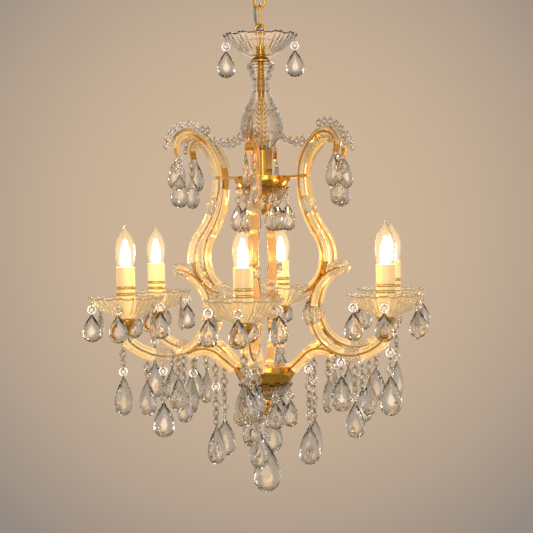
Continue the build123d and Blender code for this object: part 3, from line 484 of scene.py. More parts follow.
def grid_faces(rows: int, columns: int, wrap: bool = True) -> list:
    """Quads of a grid of points whose rows close on themselves.

    Args:
        rows: number of rows.
        columns: points in a row.
        wrap: True joins the last row to the first as well.

    Returns:
        The faces.
    """
    faces = []
    for i in range(rows if wrap else rows - 1):
        a = i * columns
        b = (i + 1) % rows * columns
        for j in range(columns):
            n = (j + 1) % columns
            faces.append([a + j, a + n, b + n, b + j])
    return faces


def tube(path: np.ndarray, radius: float, sides: int) -> tuple[np.ndarray, list]:
    """Round tube with closed ends along a path.

    Args:
        path: points that it follows, in metres.
        radius: its radius in metres.
        sides: number of flat sides.

    Returns:
        Its points and its faces.
    """
    points = []
    for place, along in zip(path, np.gradient(path, axis=0)):
        along = along / np.linalg.norm(along)
        across = np.cross(along, (0.0, 1.0, 0.0))
        across = across / np.linalg.norm(across)
        other = np.cross(along, across)
        for a in round_steps(sides):
            points.append(place + radius * (cos(a) * across + sin(a) * other))
    faces = grid_faces(len(path), sides, wrap=False)
    faces.append(list(range(sides))[::-1])
    faces.append([len(points) - sides + i for i in range(sides)])
    return np.array(points), faces


def islands(node: str) -> list[np.ndarray]:
    """Separate solids of a node, each as its distinct points.

    Args:
        node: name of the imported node.

    Returns:
        One array of points per solid, in metres.
    """
    mesh = NODES[node].data
    points = np.zeros(len(mesh.vertices) * 3)
    mesh.vertices.foreach_get("co", points)
    points = points.reshape(-1, 3)
    _, same = np.unique(np.round(points, 6), axis=0, return_inverse=True)
    same = same.reshape(-1)
    parent = np.arange(same.max() + 1)

    def root(i: int) -> int:
        """Find the point that stands for a point's solid.

        Args:
            i: number of the point.

        Returns:
            The number of the point that stands for its solid.
        """
        while parent[i] != i:
            parent[i] = parent[parent[i]]
            i = parent[i]
        return i

    for edge in mesh.edges:
        a, b = root(same[edge.vertices[0]]), root(same[edge.vertices[1]])
        if a != b:
            parent[a] = b
    groups: dict[int, list] = {}
    first = {}
    for i, s in enumerate(same):
        first.setdefault(s, i)
    for s, i in first.items():
        groups.setdefault(root(s), []).append(points[i])
    return [np.array(g) for g in groups.values()]


# Cut stones

# Height over width below which a stone is a bead.
BEAD_HEIGHT = 1.2


@dataclass
class Stone:
    """One cut stone of a strand: its place, its facing and its size in metres."""

    top: np.ndarray
    facing: float
    width: float
    height: float
    thickness: float

    @classmethod
    def measured(cls, points: np.ndarray) -> "Stone":
        """Read a stone from the points of its solid.

        Args:
            points: distinct points of one upright stone.

        Returns:
            The stone.
        """
        low, high = points.min(0), points.max(0)
        flat = points[:, :2] - points[:, :2].mean(0)
        _, axes = np.linalg.eigh(flat.T @ flat)
        wide = axes[:, 1]
        across = flat @ wide
        deep = flat @ axes[:, 0]
        middle = points[:, :2].mean(0) + wide * (across.max() + across.min()) / 2
        return cls(
            top=np.array([middle[0], middle[1], high[2]]),
            facing=float(np.arctan2(wide[1], wide[0])),
            width=float(np.ptp(across)),
            height=high[2] - low[2],
            thickness=float(np.ptp(deep)),
        )

    def placed(self, local: np.ndarray) -> np.ndarray:
        """Set points of the stone's own axes in their place on the lamp.

        Args:
            local: points across, through and along the stone, in metres.

        Returns:
            The points on the lamp.
        """
        c, s = cos(self.facing), sin(self.facing)
        x, y, z = local.T
        return np.stack([x * c - y * s, x * s + y * c, z], 1) + self.top

    def is_bead(self) -> bool:
        """Tell an octagon bead, which is as high as it is wide, from a pear.

        Returns:
            True for a bead.
        """
        return self.height < BEAD_HEIGHT * self.width


@dataclass
class StoneCutter:
    """Cuts the facets of beads and pear drops."""

    girdle_mm: float = 0.5
    bead_belts: tuple = ((0.80, 0.60), (0.46, 1.0))
    pear_belts: tuple = ((0.86, 0.44), (0.68, 0.72), (0.50, 0.90), (0.30, 1.0))
    bead_sides: int = 8
    pear_sides: int = 8
    pear_eye: float = 0.62
    pear_neck: float = 0.10
    pear_fullness: float = 0.65

    def bead_outline(self, stone: Stone) -> np.ndarray:
        """Draw the octagon of a bead.

        Args:
            stone: the bead.

        Returns:
            Points of width and height, in metres.
        """
        half = pi / self.bead_sides
        turns = half + round_steps(self.bead_sides)
        radius = stone.width / 2 / cos(half)
        return np.stack([radius * np.cos(turns), radius * np.sin(turns) - stone.height / 2], 1)

    def pear_outline(self, stone: Stone) -> np.ndarray:
        """Draw the teardrop of a pear.

        Args:
            stone: the pear.

        Returns:
            Points of width and height, in metres.
        """
        steps = np.arange(self.pear_sides + 1) / self.pear_sides
        turns = pi * (self.pear_neck + (1 - self.pear_neck) * steps)
        x = stone.width * self.pear_fullness * np.sin(turns) * np.sin(turns / 2)
        z = -stone.height * (1 - np.cos(turns)) / 2
        z[0] = 0.0
        right = np.stack([x, z], 1)
        left = np.stack([-x[-2:0:-1], z[-2:0:-1]], 1)
        tip = np.array([[-x[0], 0.0]])
        return np.concatenate([right, left, tip])

    def cut(self, pile: MeshPile, stone: Stone, kind: int = 0) -> None:
        """Cut one stone with a girdle, belts of facets and a table on each side.

        Args:
            pile: mesh that takes it.
            stone: the stone.
            kind: number of its finish.
        """
        bead = stone.is_bead()
        outline = self.bead_outline(stone) if bead else self.pear_outline(stone)
        eye = np.array([0.0, -stone.height * (0.5 if bead else self.pear_eye)])
        n = len(outline)
        half = stone.thickness / 2
        girdle = self.girdle_mm * MM / 2
        between = (outline + np.roll(outline, -1, 0)) / 2
        belts = ((1.0, girdle / half),) + (self.bead_belts if bead else self.pear_belts)
        rings = []
        for side in (-1, 1):
            for level, (scale, height) in enumerate(belts):
                flat = eye + ((between if level % 2 else outline) - eye) * scale
                rings.append(np.stack([flat[:, 0], np.full(n, side * half * height), flat[:, 1]], 1))
        faces = []
        far = len(belts) * n
        for base in (0, far):
            cut = []
            for level in range(len(belts) - 1):
                low, high = base + level * n, base + (level + 1) * n
                for i in range(n):
                    j = (i + 1) % n
                    if level % 2:
                        cut.extend([[low + i, low + j, high + j], [low + i, high + j, high + i]])
                    else:
                        cut.extend([[low + i, low + j, high + i], [low + j, high + j, high + i]])
            cut.append([base + far - n + i for i in range(n)])
            faces.extend([face[::-1] for face in cut] if base else cut)
        for i in range(n):
            j = (i + 1) % n
            faces.append([i, far + i, far + j, j])
        pile.add(stone.placed(np.concatenate(rings)), [face[::-1] for face in faces], kind)


@dataclass
class WireRing:
    """Small bent wire ring that joins two stones."""

    radius_mm: float = 1.5
    wire_mm: float = 0.35
    stretch: float = 1.4
    around: int = 12
    section: int = 6

    def bend(self, pile: MeshPile, centre: np.ndarray, facing: float, kind: int) -> None:
        """Bend one ring in the upright plane across a stone's face.

        Args:
            pile: mesh that takes it.
            centre: middle of the ring, in metres.
            facing: bearing of the ring's plane in radians.
            kind: number of its finish.
        """
        points = []
        for a in round_steps(self.around):
            for b in round_steps(self.section):
                r = (self.radius_mm + self.wire_mm * cos(b)) * MM
                points.append((r * cos(a), self.wire_mm * MM * sin(b), self.stretch * r * sin(a)))
        c, s = cos(facing), sin(facing)
        x, y, z = np.array(points).T
        turned = np.stack([x * c - y * s, x * s + y * c, z], 1) + centre
        pile.add(turned, grid_faces(self.around, self.section), kind)


@dataclass
class Strands:
    """All hanging crystals: each node of stones is cut again with full facets and wire rings."""

    cutter: StoneCutter = field(default_factory=StoneCutter)
    ring: WireRing = field(default_factory=WireRing)
    pin_width_mm: float = 1.6
    hook_radius_mm: float = 0.5
    hook_sides: int = 8

    def nodes(self) -> list[str]:
        """List the nodes that hold stones.

        Returns:
            Their names.
        """
        heads = ("bobeche_drops_", "arm_strands_", "crook_drops_", "hub_strands_")
        return sorted(n for n in NODES if n.startswith(heads)) + ["bead_swags", "central_drop", "dish_drops"]

    def build(self) -> None:
        """Cut every strand."""
        for node in self.nodes():
            self.build_node(node)

    def build_node(self, node: str) -> None:
        """Cut the stones of one node, and wire them.

        Args:
            node: name of the node that the new piece stands for.
        """
        pile = MeshPile()
        for points in islands(node):
            low, high = points.min(0), points.max(0)
            if max(high[:2] - low[:2]) < self.pin_width_mm * MM:
                middle = (low + high) / 2
                self.hook(pile, middle, high[2], low[2])
                continue
            stone = Stone.measured(points)
            self.cutter.cut(pile, stone)
            self.ring.bend(pile, stone.top, stone.facing + pi / 2, 1)
        body = NODES[node]["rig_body"]
        pile.piece(f"{node}_cut", body, [CRYSTAL, BRASS], [False, True], [node])

    def hook(self, pile: MeshPile, middle: np.ndarray, top: float, bottom: float) -> None:
        """Straight wire of a hook between its glass and its first stone.

        Args:
            pile: mesh that takes it.
            middle: a point on the wire's line.
            top: height of its upper end.
            bottom: height of its lower end.
        """
        sides = self.hook_sides
        angles = round_steps(sides)
        rings = [ring_points(self.hook_radius_mm * MM, angles, z) for z in (top, bottom)]
        points = np.concatenate(rings) + (middle[0], middle[1], 0.0)
        faces = grid_faces(2, sides, wrap=False)
        faces += [list(range(sides))[::-1], list(range(sides, 2 * sides))]
        pile.add(points, [f[::-1] for f in faces], 1)


# Moulded glass


@dataclass
class GlassDish:
    """Pressed glass dish with a petalled rim and cut ribs."""

    lobes: int = 12
    foot_mm: float = 16.0
    foot_step_mm: float = 2.0
    wall_mm: float = 3.0
    wall_foot: float = 0.55
    wall_swell: float = 0.25
    lip_thinning: float = 0.75
    belly_out_mm: float = 4.4
    belly_down_mm: float = 5.28
    plain_share: float = 0.25
    flare: float = 1.3
    scallop_mm: float = 3.6
    rim_dip_mm: float = 2.2
    rib_mm: float = 2.3
    rib_fade: float = 0.3
    rib_inside: float = 0.7
    rib_at_rim: float = 0.6
    ribs: int = 36
    around: int = 360
    rise: int = 16

    def profile(self, radius: float, depth: float) -> np.ndarray:
        """Draw the half outline of the outer wall from the foot to the rim.

        Args:
            radius: rim radius in millimetres.
            depth: height of the rim in millimetres.

        Returns:
            Points of radius and height, in millimetres.
        """
        t = np.linspace(0, 1, self.rise)[:, None]
        start = np.array([self.foot_mm, 0.0])
        end = np.array([radius, depth])
        pull = (start + end) / 2 + (self.belly_out_mm, -self.belly_down_mm)
        return (1 - t) ** 2 * start + 2 * t * (1 - t) * pull + t**2 * end

    def press(
        self, pile: MeshPile, centre: tuple, turn: float, radius: float, depth: float, hole: float
    ) -> None:
        """Press one dish.

        Args:
            pile: mesh that takes it.
            centre: middle of its foot, in metres.
            turn: bearing of its first petal in radians.
            radius: rim radius in millimetres.
            depth: height of the rim in millimetres.
            hole: radius of its centre hole in millimetres.
        """
        outer = self.profile(radius, depth)
        angles = round_steps(self.around)
        petal = 1 - np.abs(np.cos(angles * self.lobes / 2))
        ribs = self.rib_mm * np.abs(np.cos(angles * self.ribs / 2))
        rim = self.rim_dip_mm * petal + self.rib_at_rim * ribs
        share = np.linspace(0, 1, self.rise) - self.plain_share
        share = np.clip(share / (1 - self.plain_share), 0, 1) ** self.flare
        rows = [(hole, 0.0)]
        for (r, z), s in zip(outer, share):
            cut = s * self.scallop_mm * petal + s**self.rib_fade * ribs
            rows.append((r - cut, z - s**3 * rim))
        for (r, z), s in zip(outer[::-1], share[::-1]):
            cut = s * self.scallop_mm * petal + self.rib_inside * s**self.rib_fade * ribs
            wall = self.wall_mm * (self.wall_foot + self.wall_swell * s)
            inner = max(r - wall, self.foot_mm - self.foot_step_mm)
            lift = self.wall_mm * (1.0 - self.lip_thinning * s)
            rows.append((inner - cut, z + lift - s**3 * rim))
        rows.append((hole, self.wall_mm))
        points = np.concatenate([ring_points(r, angles + turn, z) for r, z in rows])
        pile.add(points * MM + np.array(centre), grid_faces(len(rows), self.around))


@dataclass
class Dishes:
    """The candle dishes, the top dish and the two hub dishes."""

    dish: GlassDish = field(default_factory=GlassDish)
    candle_hole_mm: float = 5.6
    stem_hole_mm: float = 5.1
    rim_room_mm: float = 0.9

    def from_node(self, pile: MeshPile, low: Vector, high: Vector, turn: float, hole: float) -> None:
        """Press a dish in the box that its node holds.

        Args:
            pile: mesh that takes it.
            low: low corner of the box.
            high: high corner of the box.
            turn: bearing of its first petal in radians.
            hole: radius of its centre hole in millimetres.
        """
        centre = ((low.x + high.x) / 2, (low.y + high.y) / 2, low.z)
        radius = max(high.x - low.x, high.y - low.y) / 2 / MM
        depth = (high.z - low.z) / MM - self.rim_room_mm
        self.dish.press(pile, centre, turn, radius, depth, hole)

    def build(self) -> None:
        """Press every dish."""
        for k in range(ARM_COUNT):
            node = f"bobeche_{k + 1}"
            pile = MeshPile()
            self.from_node(pile, *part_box(node), arm_angle(k), self.candle_hole_mm)
            pile.piece(f"{node}_pressed", f"dish_{k + 1}", [CANDLE_GLOW_GLASS], [True], [node])
        pile = MeshPile()
        self.from_node(pile, *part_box("top_dish"), 0.0, self.stem_hole_mm)
        pile.piece("top_dish_pressed", Body.FRAME.value, [MOULDED], [True], ["top_dish"])
        pile = MeshPile()
        for points in islands("hub_dishes"):
            self.from_node(pile, Vector(points.min(0)), Vector(points.max(0)), 0.0, self.stem_hole_mm)
        pile.piece("hub_dishes_pressed", Body.FRAME.value, [MOULDED], [True], ["hub_dishes"])


@dataclass
class Vase:
    """Baluster vase: a plain faceted neck, and leaves cut into the belly."""

    around: int = 288
    rise: int = 240
    smoothing: int = 13
    level_mm: float = 0.02
    wall_mm: float = 3.0
    wall_margin_mm: float = 2.0
    hole_mm: float = 5.1
    bore_wall_mm: float = 0.5
    facets: int = 10
    facet_mm: float = 0.5
    groove_mm: float = 1.2
    leaves: int = 6
    leaf_width: float = 0.92
    leaf_round: float = 0.6
    leaf_sharpness: float = 12.0
    line_sharpness: float = 14.0
    rib_share: float = 0.75
    rib_pitch_mm: float = 7.0
    rib_slope_mm: float = 17.0
    neck_z_mm: float = -214.0
    neck_fade_mm: float = 8.0
    leaf_top_mm: float = -214.0
    leaf_foot_mm: float = -288.0

    def profile(self) -> tuple[np.ndarray, np.ndarray]:
        """Read the outer wall of the vase's node.

        Returns:
            Its heights and its radii, in millimetres.
        """
        points = islands("vase")[0] / MM
        radius = np.hypot(points[:, 0], points[:, 1])
        heights = np.linspace(points[:, 2].max(), points[:, 2].min(), self.rise)
        found = sorted({round(z, 2) for z in points[:, 2]}, reverse=True)
        walls = [(z, max(radius[np.abs(points[:, 2] - z) < self.level_mm])) for z in found]
        walls = [w for w in walls if w[1] > self.hole_mm + self.wall_mm + self.wall_margin_mm]
        z = np.array([w[0] for w in walls])
        r = np.array([w[1] for w in walls])
        radii = np.interp(-heights, -z, r)
        window = np.hanning(self.smoothing)
        padded = np.pad(radii, self.smoothing // 2, mode="reflect", reflect_type="odd")
        return heights, np.convolve(padded, window / window.sum(), mode="valid")

    def build(self) -> None:
        """Cut the vase."""
        heights, radii = self.profile()
        angles = round_steps(self.around)
        rows = [(self.hole_mm, heights[0])]
        for z, r in zip(heights, radii):
            rows.append((r - self.cut_depth(angles, z), z))
        for z, r in zip(heights[::-1], radii[::-1]):
            inner = max(r - self.wall_mm - self.groove_mm, self.hole_mm + self.bore_wall_mm)
            inside = min(max(z, heights[-1] + self.wall_mm), heights[0] - self.wall_mm)
            rows.append((inner, inside))
        rows.append((self.hole_mm, heights[0] - self.wall_mm))
        points = np.concatenate([ring_points(r, angles, z) for r, z in rows]) * MM
        pile = MeshPile()
        pile.add(points, [f[::-1] for f in grid_faces(len(rows), self.around)])
        pile.piece("vase_cut", Body.FRAME.value, [MOULDED], [True], ["vase"])

    def cut_depth(self, angles: np.ndarray, z: float) -> np.ndarray:
        """Find how deep the cuts go round one height.

        Args:
            angles: bearings in radians.
            z: the height in millimetres.

        Returns:
            Their depths in millimetres.
        """
        facets = self.facet_mm * (1 - np.abs(np.cos(angles * self.facets / 2)))
        facets = facets * np.clip((z - self.neck_z_mm) / self.neck_fade_mm, 0, 1)
        rise = (z - self.leaf_foot_mm) / (self.leaf_top_mm - self.leaf_foot_mm)
        if not 0 < rise < 1:
            return facets
        across = np.abs(2 * (angles * self.leaves / (2 * pi) % 1) - 1)
        edge = self.leaf_width * sin(pi * rise) ** self.leaf_round
        rib = np.abs(2 * ((z - self.rib_slope_mm * across) / self.rib_pitch_mm % 1) - 1)
        inside = np.clip((edge - across) * self.leaf_sharpness, 0, 1)
        outline = np.clip(1 - np.abs(across - edge) * self.line_sharpness, 0, 1)
        vein = np.clip(1 - across * self.line_sharpness, 0, 1)
        lines = np.maximum(outline, vein)
        return facets + self.groove_mm * np.maximum(lines, inside * self.rib_share * (1 - rib))


@dataclass
class Rosettes:
    """Pressed flowers on the bars: rings of pearls over a dome, in an outline of round petals."""

    petals: int = 8
    around: int = 96
    rise: int = 26
    petal_depth: float = 0.20
    edge_height: float = 0.12
    dome_height: float = 0.62
    dome_round: float = 0.7
    centre_width: float = 0.14
    tip: float = 0.02
    pearl_height: float = 0.24
    pearl_width: float = 0.11
    pearl_rings: tuple = ((0.90, 16), (0.64, 12), (0.37, 7))

    def build(self) -> None:
        """Press every rosette where its solid sits."""
        pile = MeshPile()
        for points in islands("rosettes"):
            self.press(pile, points)
        body = Body.FRAME.value
        pile.piece("rosettes_pressed", body, [CANDLE_GLOW_GLASS], [True], ["rosettes"])

    def press(self, pile: MeshPile, points: np.ndarray) -> None:
        """Press one flower.

        Args:
            pile: mesh that takes it.
            points: points of its solid.
        """
        middle = points.mean(0)
        off = points - middle
        _, axes = np.linalg.eigh(off.T @ off)
        normal = axes[:, 0]
        rise = off @ normal
        spread = np.linalg.norm(off - np.outer(rise, normal), axis=1)
        top_half = spread[rise > (rise.max() + rise.min()) / 2].mean()
        low_half = spread[rise <= (rise.max() + rise.min()) / 2].mean()
        if top_half > low_half:
            normal, rise = -normal, -rise
        base = middle + normal * rise.min()
        height = np.ptp(rise)
        radius = spread.max()
        side = np.cross(normal, axes[:, 1])
        frame_axes = np.stack([axes[:, 1], side, normal])
        angles = round_steps(self.around)
        petal = 1 - self.petal_depth + self.petal_depth * np.abs(np.cos(angles * self.petals / 2))
        rows = [(radius * petal, 0.0)]
        for t in np.linspace(0.0, 1.0, self.rise):
            r = 1 - t
            lift = self.edge_height + self.dome_height * (1 - r**2) ** self.dome_round
            lift = lift + self.pearl_height * np.exp(-((r / self.centre_width) ** 2))
            for place, pearls in self.pearl_rings:
                ring = np.exp(-(((r - place) / self.pearl_width) ** 2))
                lift = lift + self.pearl_height * ring * (1 + np.cos(angles * pearls)) / 2
            rows.append((radius * max(r, self.tip) * petal, height * np.minimum(lift, 1.0)))
        local = np.concatenate([ring_points(r, angles, z) for r, z in rows])
        points = local @ frame_axes + base
        faces = grid_faces(len(rows), self.around, wrap=False)
        faces.append(list(range(self.around))[::-1])
        last = (len(rows) - 1) * self.around
        faces.append([last + i for i in range(self.around)])
        pile.add(points, faces)


# Lit part of the bulbs


@dataclass
class LightSticks:
    """Lit sticks of each bulb on their glass post: they bow out and meet at the top like a flame."""

    sticks: int = 6
    stick_mm: float = 1.25
    foot_mm: float = 2.4
    bow_mm: float = 3.9
    bow_lean: float = 0.8
    tip_mm: float = 0.9
    top_gap_mm: float = 0.5
    phase: float = 0.25
    steps: int = 15
    stick_sides: int = 10
    post_mm: float = 18.0
    post_width_mm: float = 2.0
    post_sides: int = 16

    def build(self) -> None:
        """Set the sticks in every bulb."""
        pile = MeshPile()
        for points in islands("bulb_filaments"):
            low, high = points.min(0), points.max(0)
            axis = (low + high) / 2
            foot = np.array([axis[0], axis[1], low[2]])
            knee = foot + (0, 0, self.post_mm * MM)
            pile.add(*tube(np.linspace(foot, knee, 3), self.post_width_mm * MM, self.post_sides), 1)
            t = np.linspace(0, 1, self.steps)
            bow = self.bow_mm * np.sin(pi * t**self.bow_lean)
            spread = (self.foot_mm * (1 - t) + bow + self.tip_mm) * MM
            heights = t * (high[2] - knee[2] - self.top_gap_mm * MM)
            for k in range(self.sticks):
                a = 2 * pi * (k + self.phase) / self.sticks
                path = np.stack([spread * cos(a), spread * sin(a), heights], 1) + knee
                pile.add(*tube(path, self.stick_mm * MM, self.stick_sides), 0)
        body = Body.FRAME.value
        pile.piece("light_sticks_lit", body, [LIT, BULB], [True, True], ["bulb_filaments"])


# Foil bands on the sleeves


@dataclass
class FoilBands:
    """Two narrow gold foil bands round each candle sleeve."""

    below_top_mm: tuple = (27.5, 36.5)
    height_mm: float = 4.2
    thickness_mm: float = 0.12
    gap_mm: float = 0.01
    around: int = 64

    def build(self) -> None:
        """Wrap the bands round every sleeve."""
        pile = MeshPile()
        angles = round_steps(self.around)
        for points in islands("candle_sleeves"):
            low, high = points.min(0), points.max(0)
            middle = (low + high) / 2 * (1, 1, 0)
            inner = (high[0] - low[0]) / 2 + self.gap_mm * MM
            outer = inner + self.thickness_mm * MM
            for below in self.below_top_mm:
                top = high[2] - below * MM
                foot = top - self.height_mm * MM
                rows = ((inner, top), (outer, top), (outer, foot), (inner, foot))
                band = np.concatenate([ring_points(r, angles, z) for r, z in rows])
                pile.add(band + middle, grid_faces(len(rows), self.around))
        pile.piece("sleeve_foil", Body.FRAME.value, [FOIL], [True])


# Flex beside the chain


@dataclass
class SupplyFlex:
    """Clear flex that hangs from the canopy beside the chain and enters the collar of the loop."""

    radius_mm: float = 2.0
    sides: int = 14
    cuts_mm: tuple = (-64.0, -97.0)
    route_mm: tuple = (
        (-12.5, 5.4, -24.0),
        (-12.5, 5.4, -40.0),
        (-7.5, 6.4, -64.0),
        (-7.5, 6.4, -100.0),
        (0.0, 5.4, -118.0),
        (0.0, 4.6, -126.0),
        (0.0, 4.6, -137.9),
    )

    def line(self) -> np.ndarray:
        """Draw the route's smooth spline.

        Returns:
            Its points from the top down, in metres.
        """
        curve = bpy.data.curves.new("flex_route", "CURVE")
        curve.dimensions = "3D"
        spline = curve.splines.new("NURBS")
        spline.points.add(len(self.route_mm) - 1)
        for point, place in zip(spline.points, self.route_mm):
            point.co = (*[v * MM for v in place], 1.0)
        spline.order_u = 3
        spline.use_endpoint_u = True
        spline.resolution_u = 12
        holder = bpy.data.objects.new("flex_route", curve)
        bpy.context.scene.collection.objects.link(holder)
        bpy.context.view_layer.update()
        mesh = bpy.data.meshes.new_from_object(holder)
        points = np.array([v.co for v in mesh.vertices])
        bpy.data.objects.remove(holder)
        return points if points[0, 2] > points[-1, 2] else points[::-1]

    def length(self, name: str, path: np.ndarray) -> bpy.types.Object:
        """One length of the flex.

        Args:
            name: name of the piece.
            path: points that it follows, in metres.

        Returns:
            The new object, on no body yet.
        """
        points, faces = tube(path, self.radius_mm * MM, self.sides)
        mesh = bpy.data.meshes.new(name)
        mesh.from_pydata(points.tolist(), [], faces)
        obj = bpy.data.objects.new(name, mesh)
        bpy.context.scene.collection.objects.link(obj)
        dress(obj, FLEX, smooth=True)
        return obj

    def build(self) -> None:
        """Lay the flex in three lengths, one across each joint of the chain."""
        line = self.line()
        cuts = [np.argmin(np.abs(line[:, 2] - z * MM)) for z in self.cuts_mm]
        lengths = (line[: cuts[0] + 1], line[cuts[0]: cuts[1] + 1], line[cuts[1]:])
        pairs = ((Body.CEILING, Body.LINK_1), (Body.LINK_1, Body.LINK_2), (Body.LINK_2, Body.FRAME))
        names = ("flex_top", "flex_middle", "flex_bottom")
        for name, path, (a, b) in zip(names, lengths, pairs):
            obj = self.length(name, path)
            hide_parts("supply_cable")
            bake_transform(obj)


# Solids that keep their shape


@dataclass
class KeptSolids:
    """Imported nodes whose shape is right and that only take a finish."""

    # Nodes that take the strip glass with its painted glow.
    painted_glow_strips: tuple = ("arm_glass",)

    def build(self) -> None:
        """Dress each kept node."""
        finishes = {
            "steel_bracket": STEEL,
            "polished_brass": BRASS,
            "ivory_plastic": IVORY,
            "black_holder": PHENOLIC,
            "bulb_glass": BULB,
            "nickel_cap": NICKEL,
            "light_sticks": LIT,
            "clear_flex": FLEX,
            "moulded_glass": MOULDED,
            "cut_crystal": CRYSTAL,
        }
        for part in frame["record"]["subparts"]:
            glowing = part["node"] in self.painted_glow_strips
            dress(NODES[part["node"]], STRIP_GLOW_GLASS if glowing else finishes[part["material_slot"]])


# Light, stage and camera


@dataclass
class Candlelight:
    """Warm light of the six lit bulbs."""

    height_mm: float = -440.0
    power_w: float = 2.4
    radius_mm: float = 8.0
    colour: str = "#FFC98C"

    def build(self) -> None:
        """Put one light in each bulb, carried by the frame."""
        for k in range(ARM_COUNT):
            data = bpy.data.lights.new(f"candlelight_{k + 1}", "POINT")
            data.energy = self.power_w
            data.shadow_soft_size = self.radius_mm * MM
            data.color = linear(self.colour)[:3]
            lamp = bpy.data.objects.new(data.name, data)
            bpy.context.scene.collection.objects.link(lamp)
            a = arm_angle(k)
            reach = CANDLE_CIRCLE_MM * MM
            lamp.location = (reach * cos(a), reach * sin(a), self.height_mm * MM)
            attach(lamp, Body.FRAME.value)


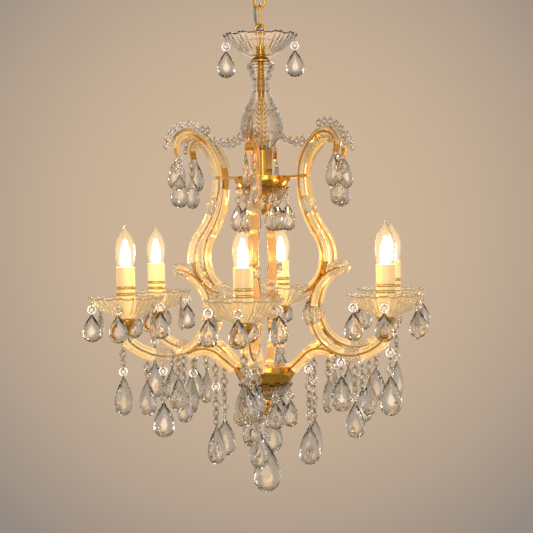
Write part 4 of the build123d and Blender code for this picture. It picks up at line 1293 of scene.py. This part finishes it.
@dataclass
class Studio:
    """Plain pale stage, soft lights and the camera."""

    backdrop: str = "#CDB498"
    backdrop_deg: tuple = (15.0, 5.0)
    edge_shade: str = "#978B82"
    edge_levels: tuple = (0.36, 0.64)
    low_shade: str = "#6E6456"
    low_level: float = 0.10
    high_shade: str = "#5E554A"
    high_level: float = 0.90
    gloss_level: float = 2.3
    clear_level: float = 1.42
    ambient: str = "#F2EEE6"
    ambient_level: float = 0.35
    aim_z: float = -0.45
    floor: str = "#D9D2C4"
    floor_z: float = -2.4
    floor_radius: float = 3.2
    floor_sides: int = 96
    distance: float = 2.16
    height: float = -0.4125
    aside: float = 0.004
    lens_mm: float = 97.3
    sensor_mm: float = 36.0
    pitch_deg: float = 1.45
    roll_deg: float = -0.9

    def build(self) -> None:
        """Build the stage."""
        self.world()
        self.ground()
        self.area("key", (-1.6, -1.9, 1.0), 1.4, 11.0)
        self.area("fill", (1.9, -1.4, 0.3), 1.6, 6.0)
        self.area("rim", (0.7, 1.9, 0.9), 1.2, 10.0)
        self.card("front", (0.3, -3.0, -0.3), 1.7, 22.0)
        self.camera()

    def world(self) -> None:
        """Pale surround that camera, metal and glass see, with a dimmer light level for the rest."""
        world = bpy.data.worlds.new("studio")
        bpy.context.scene.world = world
        world.use_nodes = True
        tree = world.node_tree
        shown = tree.nodes["Background"]
        # Painted glow and shade: the backdrop is lighter straight behind the lamp and darker towards its
        # edges, top and bottom.
        way = add_node(tree, "ShaderNodeTexCoord").outputs["Generated"]
        axes = add_node(tree, "ShaderNodeSeparateXYZ", {}, {"Vector": way})
        ends = {"From Min": -1.0, "From Max": 1.0}
        level = add_node(tree, "ShaderNodeMapRange", ends, {"Value": axes.outputs["Z"]})
        ramp = add_node(tree, "ShaderNodeValToRGB", {}, {"Fac": level.outputs["Result"]})
        bands = ramp.color_ramp.elements
        bands[0].position, bands[0].color = self.low_level, linear(self.low_shade)
        bands[1].position, bands[1].color = self.high_level, linear(self.high_shade)
        for place in self.edge_levels:
            bands.new(place).color = linear(self.edge_shade)
        outside, inside = [cos(radians(a)) for a in self.backdrop_deg]
        ends = {"From Min": outside, "From Max": inside}
        glow = add_node(tree, "ShaderNodeMapRange", ends, {"Value": axes.outputs["Y"]})
        wall = add_node(tree, "ShaderNodeMix", {"data_type": "RGBA"}, {"Factor": glow.outputs["Result"]})
        tree.links.new(ramp.outputs["Color"], wall.inputs[6])
        wall.inputs[7].default_value = linear(self.backdrop)
        tree.links.new(wall.outputs[2], shown.inputs["Color"])
        path = add_node(tree, "ShaderNodeLightPath")
        ends = {"To Min": 1.0, "To Max": self.gloss_level}
        gloss = add_node(tree, "ShaderNodeMapRange", ends, {"Value": path.outputs["Is Glossy Ray"]})
        ends = {"To Max": self.clear_level}
        clear = add_node(tree, "ShaderNodeMapRange", ends, {"Value": path.outputs["Is Transmission Ray"]})
        tree.links.new(gloss.outputs["Result"], clear.inputs["To Min"])
        tree.links.new(clear.outputs["Result"], shown.inputs["Strength"])
        soft = {"Color": linear(self.ambient), "Strength": self.ambient_level}
        ambient = add_node(tree, "ShaderNodeBackground", soft)
        mix = add_node(tree, "ShaderNodeMixShader", {}, {"Fac": path.outputs["Is Diffuse Ray"]})
        tree.links.new(shown.outputs[0], mix.inputs[1])
        tree.links.new(ambient.outputs[0], mix.inputs[2])
        tree.links.new(mix.outputs[0], tree.nodes["World Output"].inputs["Surface"])

    def ground(self) -> None:
        """Pale round floor well below the lamp."""
        ring = ring_points(self.floor_radius, round_steps(self.floor_sides), self.floor_z)
        mesh = bpy.data.meshes.new("floor")
        mesh.from_pydata(ring.tolist(), [], [list(range(self.floor_sides))])
        floor = bpy.data.objects.new("floor", mesh)
        bpy.context.scene.collection.objects.link(floor)
        dress(floor, Finish("floor_paint", self.floor, 0.9, mottle=0.0))

    def area(self, name: str, place: tuple, size: float, watts: float) -> bpy.types.Object:
        """One soft square light that looks at the lamp, and that clear glass doesn't show.

        Args:
            name: name of the light.
            place: its place in metres.
            size: edge length in metres.
            watts: its power.

        Returns:
            The light.
        """
        data = bpy.data.lights.new(name, "AREA")
        data.energy = watts
        data.size = size
        lamp = bpy.data.objects.new(name, data)
        bpy.context.scene.collection.objects.link(lamp)
        lamp.visible_camera = False
        lamp.visible_transmission = False
        lamp.location = place
        aim = Vector((0, 0, self.aim_z)) - Vector(place)
        lamp.rotation_euler = aim.to_track_quat("-Z", "Y").to_euler()
        return lamp

    def card(self, name: str, place: tuple, size: float, watts: float) -> None:
        """One soft card that only metal and glass mirror.

        Args:
            name: name of the light.
            place: its place in metres.
            size: edge length in metres.
            watts: its power.
        """
        lamp = self.area(name, place, size, watts)
        lamp.visible_transmission = True
        lamp.visible_diffuse = False

    def camera(self) -> None:
        """Camera at candle height in front of the lamp."""
        data = bpy.data.cameras.new("camera")
        data.lens = self.lens_mm
        data.sensor_width = self.sensor_mm
        camera = bpy.data.objects.new("camera", data)
        bpy.context.scene.collection.objects.link(camera)
        tilt = Matrix.Rotation(pi / 2 - radians(self.pitch_deg), 4, "X")
        roll = Matrix.Rotation(radians(self.roll_deg), 4, "Z")
        place = Matrix.Translation((self.aside, -self.distance, self.height))
        camera.matrix_world = place @ tilt @ roll
        bpy.context.scene.camera = camera


def main() -> None:
    """Build the lamp's pieces in order, and light them."""
    logging.basicConfig(level=logging.INFO, format="%(message)s")
    bpy.context.scene.view_settings.view_transform = "Standard"
    Studio().build()
    SupplyFlex().build()
    KeptSolids().build()
    Dishes().build()
    Vase().build()
    Rosettes().build()
    LightSticks().build()
    FoilBands().build()
    Strands().build()
    Candlelight().build()


if __name__ == "__main__":
    main()
